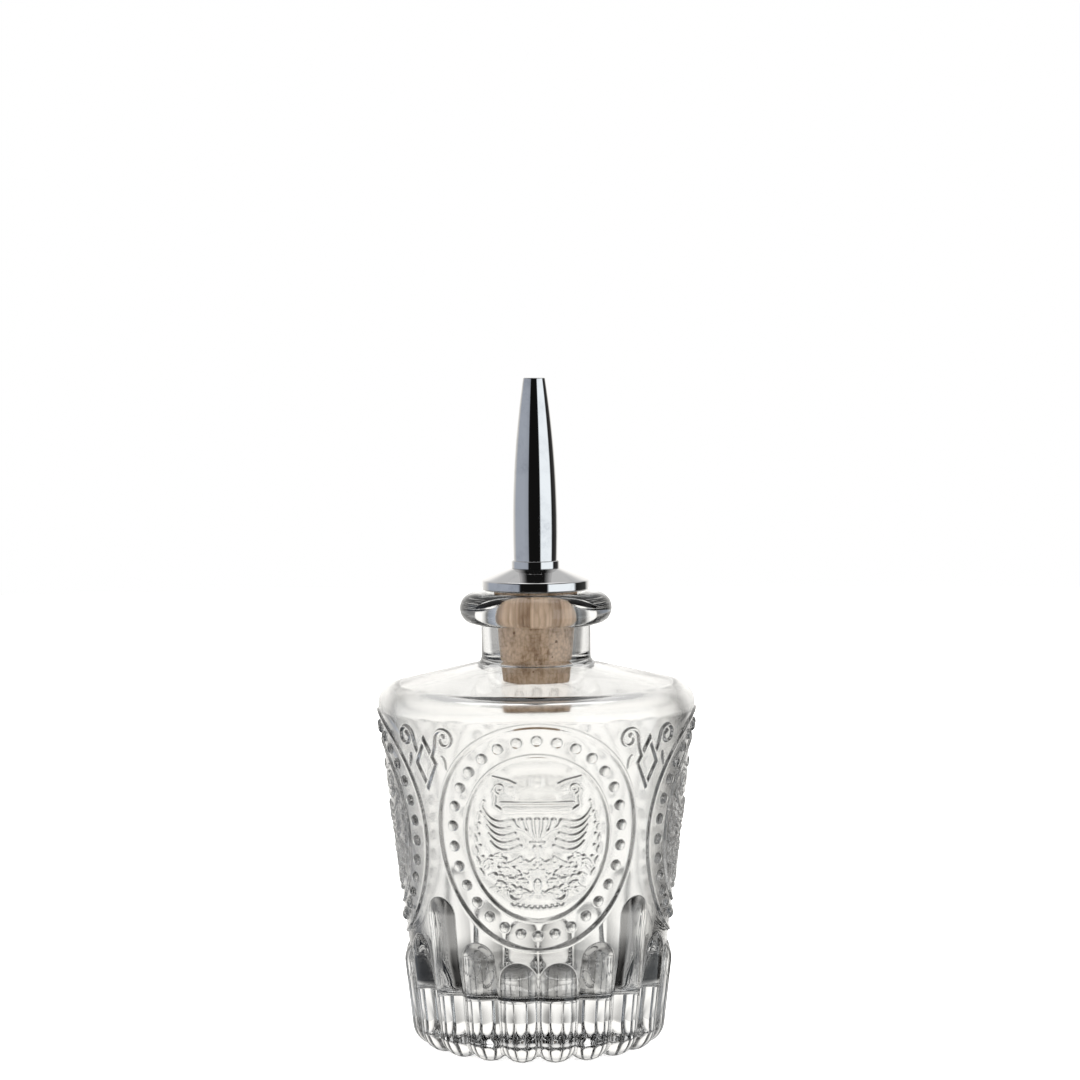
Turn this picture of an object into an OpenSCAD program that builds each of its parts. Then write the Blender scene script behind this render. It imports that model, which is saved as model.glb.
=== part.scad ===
// Bitters bottle: pressed-glass bottle with a cork stopper that carries a metal dasher spout.
// Millimetres, +Z up, origin at the centre of the flat the bottle stands on. The front medallion faces -Y.

/* [Bottle body] */
// Radius of the body's cone where it would meet the table
body_foot_r = 25.1; // [24.5:0.1:26]
// Slope of the body's side, outward per millimetre of height
body_flare = 0.1185; // [0.1:0.0025:0.14]
// Radius of the rounded corner between side and shoulder
shoulder_corner_r = 4.3; // [3:0.1:6]
// Height where the shoulder's slope meets the neck
shoulder_top_z = 81.8; // [80:0.2:86]
// Slope of the shoulder, drop per millimetre outward
shoulder_slope = 0.236; // [0.18:0.004:0.28]
// Thickness of the glass in the side wall
wall = 3; // [2.4:0.1:4]
// Thickness of the glass in the shoulder
shoulder_wall = 2.7; // [2.2:0.1:3.4]
// Height of the inside floor above the table
floor_z = 13.5; // [9:0.5:18]
// Radius of the inside corner round the floor
floor_corner_r = 2.5; // [2:0.5:6]

/* [Neck and lip] */
// Outer radius of the neck
neck_r = 11.7; // [11.4:0.1:12.6]
// Height of the neck from the shoulder to the middle of the lip
neck_height = 11.4; // [9.5:0.1:16]
// Radius of the lip's round section
lip_round_r = 3.4; // [3:0.1:4]
// Overhang of the lip's section centre beyond the neck
lip_reach = 1.15; // [0.6:0.05:1.5]
// Radius of the flared mouth's rounding
mouth_round_r = 1.8; // [1.5:0.1:2.6]
// Gap between the cork and the glass of the neck
cork_fit = 0.08; // [0.05:0.01:0.1]

/* [Base] */
// Number of convex toes round the base, a multiple of four
toe_count = 20; // [20:4:24]
// Radius of a toe's section at its foot
toe_foot_r = 5.3; // [5.1:0.1:5.6]
// Radius of a toe's section at its top
toe_top_r = 5.6; // [5.3:0.1:5.9]
// How far a toe's crest stands out of the body
toe_relief = 1.45; // [1.2:0.05:1.8]
// Radius of the heel under each toe
toe_heel_r = 3.2; // [2.8:0.1:3.5]
// Radius of a toe's rounded underside, across the toe
toe_belly_r = 4.8; // [4.8:0.1:5.4]
// Depth of the flat that each toe stands on
toe_flat = 0.12; // [0.08:0.02:0.3]
// Height of the arches under the middle of a medallion
arch_low_z = 21.7; // [20.5:0.2:22.5]
// Height of the arches beside them
arch_mid_z = 25.6; // [24:0.2:27]
// Height of the arch between two medallions
arch_high_z = 34.6; // [32:0.2:38]
// Outer radius of the standing ring inside the toes
seat_ring_r = 17; // [16.5:0.25:18]
// Inner radius of the standing ring
recess_r = 12.5; // [10:0.5:14]
// Depth of the hollow under the base
recess_depth = 1.2; // [0.6:0.1:2.5]

/* [Medallions] */
// Height of a medallion's centre
medallion_z = 48.1; // [47.5:0.1:48.7]
// Half of the angle that the outer ring spans
outer_ring_deg = 41.9; // [40:0.1:43]
// Half of the outer ring's height
outer_ring_h = 24.2; // [23.4:0.1:24.6]
// Width of the outer ring
outer_ring_w = 1.4; // [1:0.1:1.8]
// Half of the angle that the inner ring spans
inner_ring_deg = 29.6; // [28.5:0.1:30.5]
// Half of the inner ring's height
inner_ring_h = 17.9; // [17.4:0.1:18.4]
// Width of the inner ring
inner_ring_w = 1.2; // [0.8:0.1:1.5]
// Half of the angle that the ring of beads spans
bead_ring_deg = 34.4; // [34:0.1:35.4]
// Half of the height of the ring of beads
bead_ring_h = 20.5; // [20.3:0.1:21.2]
// Number of beads round a medallion
bead_count = 30; // [24:2:34]
// Radius of a bead
bead_r = 1.15; // [0.9:0.05:1.3]
// How far a ring or a scroll stands out of the body
ring_relief = 0.6; // [0.4:0.05:0.8]
// How far the urn and its leaves stand out of the body
urn_relief = 0.4; // [0.25:0.05:0.55]

/* [Urn] */
// Half of the width of the urn's bowl
bowl_w = 5.6; // [5:0.1:6.2]
// Depth of the bowl
bowl_h = 5.4; // [4.8:0.1:6]
// Height of the bowl's top above the medallion's centre
bowl_up = 5.6; // [5:0.1:6.2]
// Half of the width of the rim on the bowl
rim_w = 6.3; // [5.8:0.1:6.8]
// Height of the rim on the bowl
rim_h = 1; // [0.7:0.1:1.3]
// Half of the width of the urn's lid
lid_w = 4.2; // [3.6:0.1:4.8]
// Height of the lid
lid_h = 3.4; // [2.8:0.1:4]
// Gap between rim and lid
lid_gap = 0.7; // [0.5:0.1:1]
// Radius of the knob on the lid
knob_r = 0.9; // [0.7:0.1:1.1]
// Half of the width of the urn's foot
foot_w = 2.8; // [2.4:0.1:3.2]
// Height of the foot
foot_h = 1.4; // [1.1:0.1:1.7]
// Half of the width of the stem between bowl and foot
urn_stem_w = 0.8; // [0.6:0.1:1]
// Length of the stem
urn_stem_h = 1.2; // [1:0.1:1.6]
// Length of the upper leaves to the side of the urn
top_leaf_length = 8; // [7:0.2:8.6]
// Length of the leaves beside the flower
mid_leaf_length = 7; // [6:0.2:8]
// Length of the leaves below the flower
low_leaf_length = 5.4; // [4.6:0.2:6]
// Width of the leaves
leaf_w = 2.6; // [2.2:0.1:3]
// Radius of the flower under the urn
flower_r = 2; // [1.6:0.1:2.2]
// Depth of the flower's centre below the medallion's centre
flower_down = 6.6; // [6.4:0.1:7]
// Half of the width of the scallop at the medallion's foot
scallop_w = 3.6; // [3:0.1:4.2]
// Height of the scallop
scallop_h = 1.7; // [1.4:0.1:2]
// Depth of the scallop's top below the medallion's centre
scallop_down = 11.2; // [10.8:0.1:11.6]

/* [Lozenges and scrolls] */
// Height of a lozenge's centre
lozenge_z = 63; // [62:0.25:64]
// Half of a lozenge's width
lozenge_w = 3.3; // [2.6:0.1:3.6]
// Half of a lozenge's height
lozenge_h = 5.9; // [5:0.1:6.5]
// Width of a lozenge's raised frame
lozenge_frame = 1; // [0.7:0.1:1.3]
// Radius of the scrolls above a lozenge
scroll_r = 2.7; // [2.2:0.1:2.8]
// Distance of a scroll's centre to the side of the lozenge's centre line
scroll_x = 5.6; // [5.2:0.1:6]
// Height of a scroll's centre above the lozenge's centre
scroll_up = 5.2; // [4.6:0.1:5.6]
// Width of a scroll's stroke
scroll_w = 0.8; // [0.6:0.05:1.1]

/* [Cork] */
// Radius of the cork at its top
cork_top_r = 8.95; // [8.4:0.05:9.2]
// Taper of the cork's side, in degrees from straight
cork_taper = 5; // [3:0.25:6]
// Length of the cork
cork_length = 21.5; // [18:0.5:23]
// Height of bare cork between the lip and the cap plate
cork_stand = 0.4; // [0.3:0.1:3]
// Chamfer round the cork's ends
cork_chamfer = 0.4; // [0.2:0.1:0.8]

/* [Dasher] */
// Radius of the cap plate's rim
plate_r = 11.4; // [10:0.1:13]
// Height of the cap plate's rim
plate_rim_h = 2.1; // [1.4:0.1:2.6]
// Rounding of the cap plate's rim
plate_rim_round = 0.5; // [0.3:0.1:0.65]
// Slope of the cap plate's top, in degrees
plate_slope = 22; // [12:1:30]
// Height of the spigot that carries the spout
spigot_h = 3; // [2:0.5:5]
// Thickness of the collar round the spout's foot
collar_wall = 0.33; // [0.25:0.01:0.6]
// Height of the collar
collar_h = 1.6; // [1:0.1:3]
// Length of the spout above the cap plate
spout_length = 40.5; // [30:0.5:60]
// Radius of the spout at its widest
spout_r = 4.77; // [4.5:0.01:5.2]
// Radius of the spout at its tip
spout_tip_r = 2.33; // [1.9:0.01:2.6]
// Height above the cap plate where the spout is widest
spout_belly = 8.5; // [6:0.5:14]
// Thickness of the spout's wall
spout_wall = 0.7; // [0.5:0.05:0.9]
// Radius of the hole that the drops leave by
drip_hole_r = 1; // [0.6:0.1:1.2]
// Length of the drip hole
drip_hole_length = 4; // [2:0.5:8]
// Outer radius of the stem tube through the cork
stem_r = 2.6; // [2.2:0.1:2.8]
// Thickness of the stem tube's wall
stem_wall = 0.6; // [0.4:0.05:0.8]
// Gap between pieces that are pressed or glued together
seat_gap = 0.03; // [0.01:0.01:0.05]

/* [Hidden] */
$fn = 96;

glass_tint = [0.86, 0.89, 0.88];
cork_tint = [0.72, 0.56, 0.41];
steel_tint = [0.62, 0.64, 0.68];

// Depth to which relief is rooted in the body, and the overrun of every cutter
root = 0.5;
over = 1;
arc_steps = 6;
oval_steps = 32;
leaf_angle = 39;

// Small roundings that follow no other size
neck_fillet_r = 1.2;
bore_fillet_r = 1.5;
ring_bevel = [0.5, 0.35];
bead_sink = 0.25;

// Heights up the bottle
lip_z = shoulder_top_z + neck_height;
lip_top_z = lip_z + lip_round_r;
lip_centre_r = neck_r + lip_reach;
cork_top_z = lip_top_z + cork_stand;
cork_foot_z = cork_top_z - cork_length;

// Body and shoulder lines, outside and inside
function body_r(z) = body_foot_r + body_flare * z;
function shoulder_z(r) = shoulder_top_z - shoulder_slope * (r - neck_r);
wall_across = wall * sqrt(1 + pow(body_flare, 2));
shoulder_down = shoulder_wall * sqrt(1 + pow(shoulder_slope, 2));
function inside_r(z) = body_r(z) - wall_across;
corner_z = (shoulder_top_z - shoulder_slope * (body_foot_r - neck_r)) / (1 + shoulder_slope * body_flare);
inside_corner_z = (shoulder_top_z - shoulder_down - shoulder_slope * (body_foot_r - wall_across - neck_r))
    / (1 + shoulder_slope * body_flare);

// Cork line and the bore that holds it
function cork_r(z) = cork_top_r - (cork_top_z - z) * tan(cork_taper);
function bore_r(z) = cork_r(z) + cork_fit;
bore_top_z = lip_top_z - mouth_round_r;
bore_foot_z = shoulder_z(bore_r(cork_foot_z)) - shoulder_down;

// Toes
toe_step = 360 / toe_count;
toe_gap_deg = 0.5;
toe_root_r = seat_ring_r - 1.5;
toe_foot_centre_r = body_foot_r + toe_relief - toe_foot_r;
heel_core = [body_foot_r - 2.2, 0.9];
heel_core_top = 2.6;
toe_lean = atan((body_r(arch_high_z) - body_foot_r - toe_top_r + toe_foot_r) / arch_high_z);
toe_cap_rise = sqrt(pow(toe_top_r, 2) - pow(toe_top_r - toe_relief, 2));

// Points on an arc, and the same corner rounded by an arc that touches both of its sides
function arc(c, r, from, to, n = arc_steps) =
    [for (i = [0:n]) let (a = from + (to - from) * i / n) [c[0] + r * cos(a), c[1] + r * sin(a)]];
function unit(v) = v / norm(v);
function turn(v) = atan2(v[1], v[0]);
function rounded(before, corner, after, r, n = arc_steps) =
    let (a = unit(before - corner), b = unit(after - corner))
    let (half = acos(a * b) / 2)
    let (c = corner + unit(a + b) * (r / sin(half)))
    let (p = corner + a * (r / tan(half)), q = corner + b * (r / tan(half)))
    let (from = turn(p - c), raw = turn(q - c) - from)
    let (sweep = raw > 180 ? raw - 360 : raw < -180 ? raw + 360 : raw)
    arc(c, r, from, from + sweep, n);

// An oval that follows the cone: an ellipse in angle and height, seen straight on
function oval(half_deg, half_h, n) = [
    for (i = [0:n - 1]) let (t = 360 * i / n, z = medallion_z + half_h * sin(t))
        [body_r(z) * sin(half_deg * cos(t)), z]
];

// A stroke of even width along a spiral that tightens from one radius to another
function spiral(c, r0, r1, from, to, n) =
    [for (i = [0:n]) let (a = from + (to - from) * i / n, r = r0 + (r1 - r0) * i / n)
        [c[0] + r * cos(a), c[1] + r * sin(a)]];
function reversed(p) = [for (i = [len(p) - 1:-1:0]) p[i]];
module scroll_stroke(c, r0, r1, from, to, w, n) {
    polygon(concat(spiral(c, r0 + w / 2, r1 + w / 2, from, to, n),
        reversed(spiral(c, r0 - w / 2, r1 - w / 2, from, to, n))));
}

// A leaf from its stalk to its tip along +X
module leaf(length, width, n = 3) {
    polygon(concat(
        [for (i = [0:n]) [length * i / n, width / 2 * sin(180 * pow(i / n, 0.8))]],
        [for (i = [n - 1:-1:1]) [length * i / n, -width / 2 * sin(180 * pow(i / n, 0.8))]]));
}

// Glass bottle

module bottle_outside() {
    neck_foot = [neck_r, shoulder_top_z];
    corner = [body_r(corner_z), corner_z];
    rotate_extrude() polygon(concat(
        [[0, recess_depth], [recess_r - recess_depth, recess_depth], [recess_r, 0], [seat_ring_r, 0]],
        [[seat_ring_r, 0] + ring_bevel, heel_core, [body_r(heel_core_top), heel_core_top]],
        rounded([body_r(0), 0], corner, neck_foot, shoulder_corner_r),
        rounded(corner, neck_foot, [neck_r, lip_z], neck_fillet_r, 3),
        arc([lip_centre_r, lip_z], lip_round_r, acos(lip_reach / lip_round_r) - 180, 90, 14),
        [[bore_r(bore_top_z), lip_top_z], [0, lip_top_z]]));
}

module bottle_inside() {
    corner = [inside_r(inside_corner_z), inside_corner_z];
    bore_foot = [bore_r(bore_foot_z), bore_foot_z];
    bore_top = [bore_r(bore_top_z), bore_top_z];
    floor_corner = [inside_r(floor_z), floor_z];
    rotate_extrude() polygon(concat(
        [[0, floor_z]],
        rounded([0, floor_z], floor_corner, corner, floor_corner_r),
        rounded(floor_corner, corner, bore_foot, shoulder_corner_r - shoulder_wall / 2),
        rounded(corner, bore_foot, bore_top, bore_fillet_r, 3),
        arc([bore_top[0] + mouth_round_r, bore_top_z], mouth_round_r, 180, 90),
        [[bore_top[0] + mouth_round_r, lip_top_z + over], [0, lip_top_z + over]]));
}

// A leaning column with a round heel and a round top, its underside rounded across, kept to its own
// slice of the base so that it stands clear of its neighbours inside the glass
module toe(arch_z) {
    cap_z = arch_z - toe_cap_rise;
    r_cap = toe_foot_r + (toe_top_r - toe_foot_r) * cap_z / arch_high_z;
    belly = acos((toe_belly_r - toe_flat) / toe_belly_r);
    side = toe_step / 2 - toe_gap_deg;
    reach = body_r(arch_high_z) + toe_relief + over;
    intersection() {
        translate([0, -toe_foot_centre_r, 0]) rotate([toe_lean, 0, 0]) rotate_extrude() polygon(concat(
            [[0, -over], [toe_foot_r - toe_heel_r, -over]],
            arc([toe_foot_r - toe_heel_r, toe_heel_r - toe_flat], toe_heel_r, -90, 0, 3),
            arc([0, cap_z], r_cap, 0, 90, 4)));
        rotate([90, 0, 0]) linear_extrude(height = reach) polygon(concat(
            arc([0, toe_belly_r - toe_flat], toe_belly_r, -90 + belly, 0, 4),
            [[toe_belly_r, arch_high_z + over], [-toe_belly_r, arch_high_z + over]],
            arc([0, toe_belly_r - toe_flat], toe_belly_r, 180, 270 - belly, 4)));
        linear_extrude(height = arch_high_z + over) polygon([
            [-toe_root_r * tan(side), -toe_root_r], [toe_root_r * tan(side), -toe_root_r],
            [reach * tan(side), -reach], [-reach * tan(side), -reach]]);
    }
}

function arch_z(i) = let (a = (i + 0.5) * toe_step, from_corner = abs(a % 90 - 45))
    from_corner < toe_step / 2 ? arch_high_z : from_corner < toe_step * 1.5 ? arch_mid_z : arch_low_z;

module toes() {
    for (i = [0:toe_count - 1]) rotate([0, 0, (i + 0.5) * toe_step]) toe(arch_z(i));
}

// The layer of glass, a given height out of the body, that relief is cut from
module relief_layer(h) {
    low = arch_low_z;
    high = medallion_z + outer_ring_h + over;
    rotate_extrude() polygon([
        [body_r(low) - root, low], [body_r(low) + h, low],
        [body_r(high) + h, high], [body_r(high) - root, high]]);
}

// A flat drawing in width and height, pushed out through the side of the body
module on_side(az) {
    rotate([0, 0, az]) translate([0, -body_foot_r / 2, 0]) rotate([90, 0, 0])
        linear_extrude(height = body_foot_r) children();
}

module oval_ring(half_deg, half_h, w) {
    inner_deg = half_deg - w / body_r(medallion_z) * 180 / PI;
    difference() {
        polygon(oval(half_deg, half_h, oval_steps));
        polygon(oval(inner_deg, half_h - w, oval_steps));
    }
}

module beads() {
    for (i = [0:bead_count - 1]) {
        t = 90 + 360 * i / bead_count;
        z = medallion_z + bead_ring_h * sin(t);
        rotate([0, 0, bead_ring_deg * cos(t)]) translate([0, bead_sink - body_r(z), z]) sphere(r = bead_r);
    }
}

// Frame of a lozenge with a pair of scrolls that grow out of its shoulders
module lozenge() {
    inner = 1 - lozenge_frame * norm([lozenge_w, lozenge_h]) / (lozenge_w * lozenge_h);
    translate([0, lozenge_z]) {
        difference() {
            polygon([[lozenge_w, 0], [0, lozenge_h], [-lozenge_w, 0], [0, -lozenge_h]]);
            scale(inner) polygon([[lozenge_w, 0], [0, lozenge_h], [-lozenge_w, 0], [0, -lozenge_h]]);
        }
        for (side = [0, 1]) mirror([side, 0]) {
            scroll_stroke([scroll_x, scroll_up], scroll_r - scroll_w / 2, 1, 180, -120, scroll_w, 8);
            polygon([
                [scroll_x - scroll_r, scroll_up], [scroll_x - scroll_r + scroll_w, scroll_up],
                [lozenge_w * 0.75, lozenge_h * 0.1], [lozenge_w * 0.6, lozenge_h * 0.25]]);
        }
    }
}

// Points of a half ellipse, bulging up or down
function half_oval(w, h, n) = [for (i = [0:n]) [w * cos(180 * i / n), h * sin(180 * i / n)]];

// Outline of a lidded urn with leaves to each side and a flower and a scallop below it
module urn() {
    lid_up = bowl_up + rim_h + lid_gap;
    stem_up = bowl_up - bowl_h - urn_stem_h;
    translate([0, medallion_z]) {
        translate([0, bowl_up]) polygon(half_oval(bowl_w, -bowl_h, 6));
        translate([-rim_w, bowl_up - root]) square([2 * rim_w, rim_h + root]);
        translate([0, lid_up]) polygon(half_oval(lid_w, lid_h, 5));
        translate([0, lid_up + lid_h + knob_r / 2]) circle(r = knob_r);
        translate([-urn_stem_w, stem_up - root]) square([2 * urn_stem_w, urn_stem_h + 2 * root]);
        polygon([
            [-foot_w, stem_up - foot_h], [foot_w, stem_up - foot_h],
            [urn_stem_w, stem_up], [-urn_stem_w, stem_up]]);
        translate([0, -flower_down]) circle(r = flower_r);
        translate([0, -scallop_down]) polygon(half_oval(scallop_w, -scallop_h, 4));
        for (side = [0, 1]) mirror([side, 0]) {
            translate([foot_w, foot_w - flower_down]) rotate(leaf_angle) leaf(top_leaf_length, leaf_w);
            translate([foot_w, -flower_down]) leaf(mid_leaf_length, leaf_w);
            translate([flower_r, -flower_r - flower_down]) rotate(-leaf_angle) leaf(low_leaf_length, leaf_w);
        }
    }
}

module glass_bottle() {
    color(glass_tint) difference() {
        union() {
            bottle_outside();
            toes();
            intersection() {
                relief_layer(ring_relief);
                union() {
                    for (az = [0:90:270]) on_side(az) {
                        oval_ring(outer_ring_deg, outer_ring_h, outer_ring_w);
                        oval_ring(inner_ring_deg, inner_ring_h, inner_ring_w);
                    }
                    for (az = [45:90:315]) on_side(az) lozenge();
                }
            }
            intersection() {
                relief_layer(urn_relief);
                for (az = [0:90:270]) on_side(az) urn();
            }
            for (az = [0:90:270]) rotate([0, 0, az]) beads();
        }
        bottle_inside();
    }
}

// Stopper: cork, stem tube, cap plate, collar and spout

module cork_stopper() {
    foot_r = cork_r(cork_foot_z);
    color(cork_tint) difference() {
        rotate_extrude() polygon([
            [0, cork_foot_z], [foot_r - cork_chamfer, cork_foot_z],
            [cork_r(cork_foot_z + cork_chamfer), cork_foot_z + cork_chamfer],
            [cork_r(cork_top_z - cork_chamfer), cork_top_z - cork_chamfer],
            [cork_top_r - cork_chamfer, cork_top_z], [0, cork_top_z]]);
        translate([0, 0, cork_foot_z - over]) cylinder(r = stem_r + seat_gap, h = cork_length + 2 * over);
    }
}

plate_top_r = spout_r + collar_wall;
plate_top_z = cork_top_z + plate_rim_h + (plate_r - plate_top_r) * tan(plate_slope);
spout_bore_r = spout_r - spout_wall;

// Outline of the spout at a height above the cap plate, an arc that is upright at the belly
function spout_out_r(h) =
    spout_r - (spout_r - spout_tip_r) * pow((h - spout_belly) / (spout_length - spout_belly), 2);

module stem_tube() {
    length = plate_top_z + spigot_h - cork_foot_z;
    color(steel_tint) translate([0, 0, cork_foot_z]) difference() {
        cylinder(r = stem_r, h = length);
        translate([0, 0, -over]) cylinder(r = stem_r - stem_wall, h = length + 2 * over);
    }
}

module cap_plate() {
    rim_top = [plate_r, cork_top_z + plate_rim_h];
    color(steel_tint) difference() {
        rotate_extrude() polygon(concat(
            [[0, cork_top_z]],
            rounded([0, cork_top_z], [plate_r, cork_top_z], rim_top, plate_rim_round, 4),
            rounded([plate_r, cork_top_z], rim_top, [plate_top_r, plate_top_z], plate_rim_round, 4),
            [[plate_top_r, plate_top_z], [spout_bore_r - seat_gap, plate_top_z],
            [spout_bore_r - seat_gap, plate_top_z + spigot_h], [0, plate_top_z + spigot_h]]));
        translate([0, 0, cork_top_z - over]) cylinder(r = stem_r + seat_gap, h = plate_top_z + spigot_h);
    }
}

module foot_collar() {
    color(steel_tint) translate([0, 0, plate_top_z]) difference() {
        cylinder(r = plate_top_r, h = collar_h);
        translate([0, 0, -over]) cylinder(r = spout_r + seat_gap, h = collar_h + 2 * over);
    }
}

module spout_tube() {
    steps = 16;
    color(steel_tint) translate([0, 0, plate_top_z]) difference() {
        rotate_extrude() polygon(concat(
            [[0, 0]],
            [for (i = [0:steps]) let (h = spout_length * i / steps) [spout_out_r(h), h]],
            [[0, spout_length]]));
        rotate_extrude() polygon([
            [0, -over], [spout_bore_r, -over], [spout_bore_r, spigot_h + spout_belly],
            [drip_hole_r, spout_length - drip_hole_length],
            [drip_hole_r, spout_length + over], [0, spout_length + over]]);
    }
}

glass_bottle();
cork_stopper();
stem_tube();
cap_plate();
foot_collar();
spout_tube();
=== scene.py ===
"""Looks of a pressed-glass bitters bottle with a cork stopper that carries a metal dasher spout."""

import logging
import math
from dataclasses import dataclass, field
from enum import Enum

import bpy
import numpy as np
from mathutils import Matrix, Vector


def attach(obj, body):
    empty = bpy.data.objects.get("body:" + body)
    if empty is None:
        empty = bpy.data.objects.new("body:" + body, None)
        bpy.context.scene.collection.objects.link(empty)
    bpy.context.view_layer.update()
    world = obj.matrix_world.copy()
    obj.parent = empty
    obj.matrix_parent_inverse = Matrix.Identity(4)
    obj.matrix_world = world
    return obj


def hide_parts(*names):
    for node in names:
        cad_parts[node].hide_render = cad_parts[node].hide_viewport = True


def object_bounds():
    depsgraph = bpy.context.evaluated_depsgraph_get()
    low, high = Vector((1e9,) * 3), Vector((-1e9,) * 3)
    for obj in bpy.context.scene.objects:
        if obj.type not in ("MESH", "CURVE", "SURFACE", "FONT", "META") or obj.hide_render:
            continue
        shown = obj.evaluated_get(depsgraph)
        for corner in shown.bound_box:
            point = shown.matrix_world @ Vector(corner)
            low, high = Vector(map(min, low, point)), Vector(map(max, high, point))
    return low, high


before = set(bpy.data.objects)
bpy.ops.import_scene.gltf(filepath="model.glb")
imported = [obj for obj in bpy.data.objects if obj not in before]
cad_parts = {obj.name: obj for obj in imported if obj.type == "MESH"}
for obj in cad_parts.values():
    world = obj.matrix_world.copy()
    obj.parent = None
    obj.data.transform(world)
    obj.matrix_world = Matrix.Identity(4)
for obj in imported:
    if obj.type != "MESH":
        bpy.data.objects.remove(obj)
CAD_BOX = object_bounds()
MM = 0.001
TURN = 2 * math.pi
SAME_POINT = 1e-6
HALVINGS = 12
MEETING_ROUNDS = 20
FILM_FINENESS = 14.0
FILM_PATCH = (0.42, 0.68)
FILM_FULL = 0.7
LAMP_AIM = (0, 0, 60)

Socket = bpy.types.NodeSocket
Pair = tuple[float, float]
Triple = tuple[float, float, float]
Colour = Triple

log = logging.getLogger("bitters_bottle")


class Body(Enum):
    """The moving bodies that pieces ride on."""

    BOTTLE = "bottle"
    STOPPER = "stopper"


class Slot(Enum):
    """The material slots that pieces take their finish from."""

    GLASS = "glass"
    CORK = "cork"
    STEEL = "steel"


class Ends(Enum):
    """How a skin of rows of points closes at its first and last rows."""

    POLES = "poles"
    JOINED = "joined"


# Small curves and fields


def smooth(low: float, high: float, x: np.ndarray | float) -> np.ndarray | float:
    """A smooth step of the values x from 0 at low to 1 at high."""
    t = np.clip((x - low) / (high - low), 0, 1)
    return t * t * (3 - 2 * t)


def mound(distance: np.ndarray, reach: np.ndarray | float) -> np.ndarray:
    """A rounded ridge that is 1 at distance 0 and 0 from reach on, in the shape of a parabola."""
    return np.clip(1 - (distance / reach) ** 2, 0, 1)


def once_round(count: int) -> np.ndarray:
    """Evenly spaced angles round the axis, from 0."""
    return np.arange(count) * TURN / count


def spiral(centre: Pair, radii: Pair, turn: Pair, steps: int) -> np.ndarray:
    """Points along a spiral that tightens or opens at a steady rate.

    Args:
        centre: Centre of the spiral.
        radii: Radius at its start and at its end.
        turn: Angle of its start and of its end, in degrees.
        steps: Number of stretches.

    Returns:
        One row of x and y for each point.
    """
    angle = np.radians(np.linspace(turn[0], turn[1], steps + 1))
    radius = np.linspace(radii[0], radii[1], steps + 1)
    return np.stack([centre[0] + radius * np.cos(angle), centre[1] + radius * np.sin(angle)], axis=1)


@dataclass
class Outline:
    """A profile of radius and height in millimetres, drawn stretch by stretch and spaced along its length."""

    points: list[Pair] = field(default_factory=list)

    def to(self, r: float, z: float, step: float) -> "Outline":
        """Adds a straight stretch to a point, or the first point.

        Args:
            r: Radius of the end.
            z: Height of the end.
            step: Longest distance between points.

        Returns:
            This outline.
        """
        if not self.points:
            self.points.append((r, z))
            return self
        r0, z0 = self.points[-1]
        count = max(1, math.ceil(math.hypot(r - r0, z - z0) / step))
        self.points += [(r0 + (r - r0) * i / count, z0 + (z - z0) * i / count) for i in range(1, count + 1)]
        return self

    def arc(self, centre: Pair, radius: float, start: float, end: float, step: float) -> "Outline":
        """Adds an arc, after a straight stretch to its start.

        Args:
            centre: Radius and height of the arc's centre.
            radius: Radius of the arc.
            start: Angle of its start, in degrees.
            end: Angle of its end, in degrees.
            step: Longest distance between points.

        Returns:
            This outline.
        """
        count = max(2, math.ceil(math.radians(abs(end - start)) * radius / step))
        for i in range(count + 1):
            a = math.radians(start + (end - start) * i / count)
            point = (centre[0] + radius * math.cos(a), centre[1] + radius * math.sin(a))
            if i == 0:
                self.to(*point, step)
            else:
                self.points.append(point)
        return self

    def corner(self, at: Pair, after: Pair, radius: float, step: float) -> "Outline":
        """Adds a rounded corner between the last point and the next one.

        Args:
            at: Where the two lines meet.
            after: A point further along the second line.
            radius: Radius of the rounding.
            step: Longest distance between points.

        Returns:
            This outline.
        """
        here, before, beyond = Vector(at), Vector(self.points[-1]), Vector(after)
        a, b = (before - here).normalized(), (beyond - here).normalized()
        half = a.angle(b) / 2
        centre = here + (a + b).normalized() * radius / math.sin(half)
        p, q = here + a * radius / math.tan(half) - centre, here + b * radius / math.tan(half) - centre
        start = math.degrees(math.atan2(p.y, p.x))
        sweep = (math.degrees(math.atan2(q.y, q.x)) - start + 180) % 360 - 180
        return self.arc((centre.x, centre.y), radius, start, start + sweep, step)

    def array(self) -> np.ndarray:
        """The points without doubles.

        Returns:
            Radius and height of each point.
        """
        rows = np.array(self.points)
        keep = np.ones(len(rows), bool)
        keep[1:] = np.hypot(*(rows[1:] - rows[:-1]).T) > SAME_POINT
        return rows[keep]


def facing(rows: np.ndarray) -> np.ndarray:
    """The outward direction of a profile at each of its points, to the right of the way it runs.

    Args:
        rows: Radius and height of each point.

    Returns:
        One unit vector in radius and height for each point.
    """
    along = np.gradient(rows, axis=0)
    along /= np.maximum(np.hypot(along[:, 0], along[:, 1]), 1e-12)[:, None]
    return np.stack([along[:, 1], -along[:, 0]], axis=1)


def add_object(name: str, data: bpy.types.ID) -> bpy.types.Object:
    """A new object in the scene.

    Args:
        name: Name of the object.
        data: Its mesh, camera or lamp.

    Returns:
        The new object.
    """
    thing = bpy.data.objects.new(name, data)
    bpy.context.scene.collection.objects.link(thing)
    return thing


def aimed(place: Vector, aim: Vector) -> Matrix:
    """Stand and turn of a camera or lamp that looks from one point at another."""
    return Matrix.Translation(place) @ (aim - place).to_track_quat("-Z", "Y").to_matrix().to_4x4()


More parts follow.
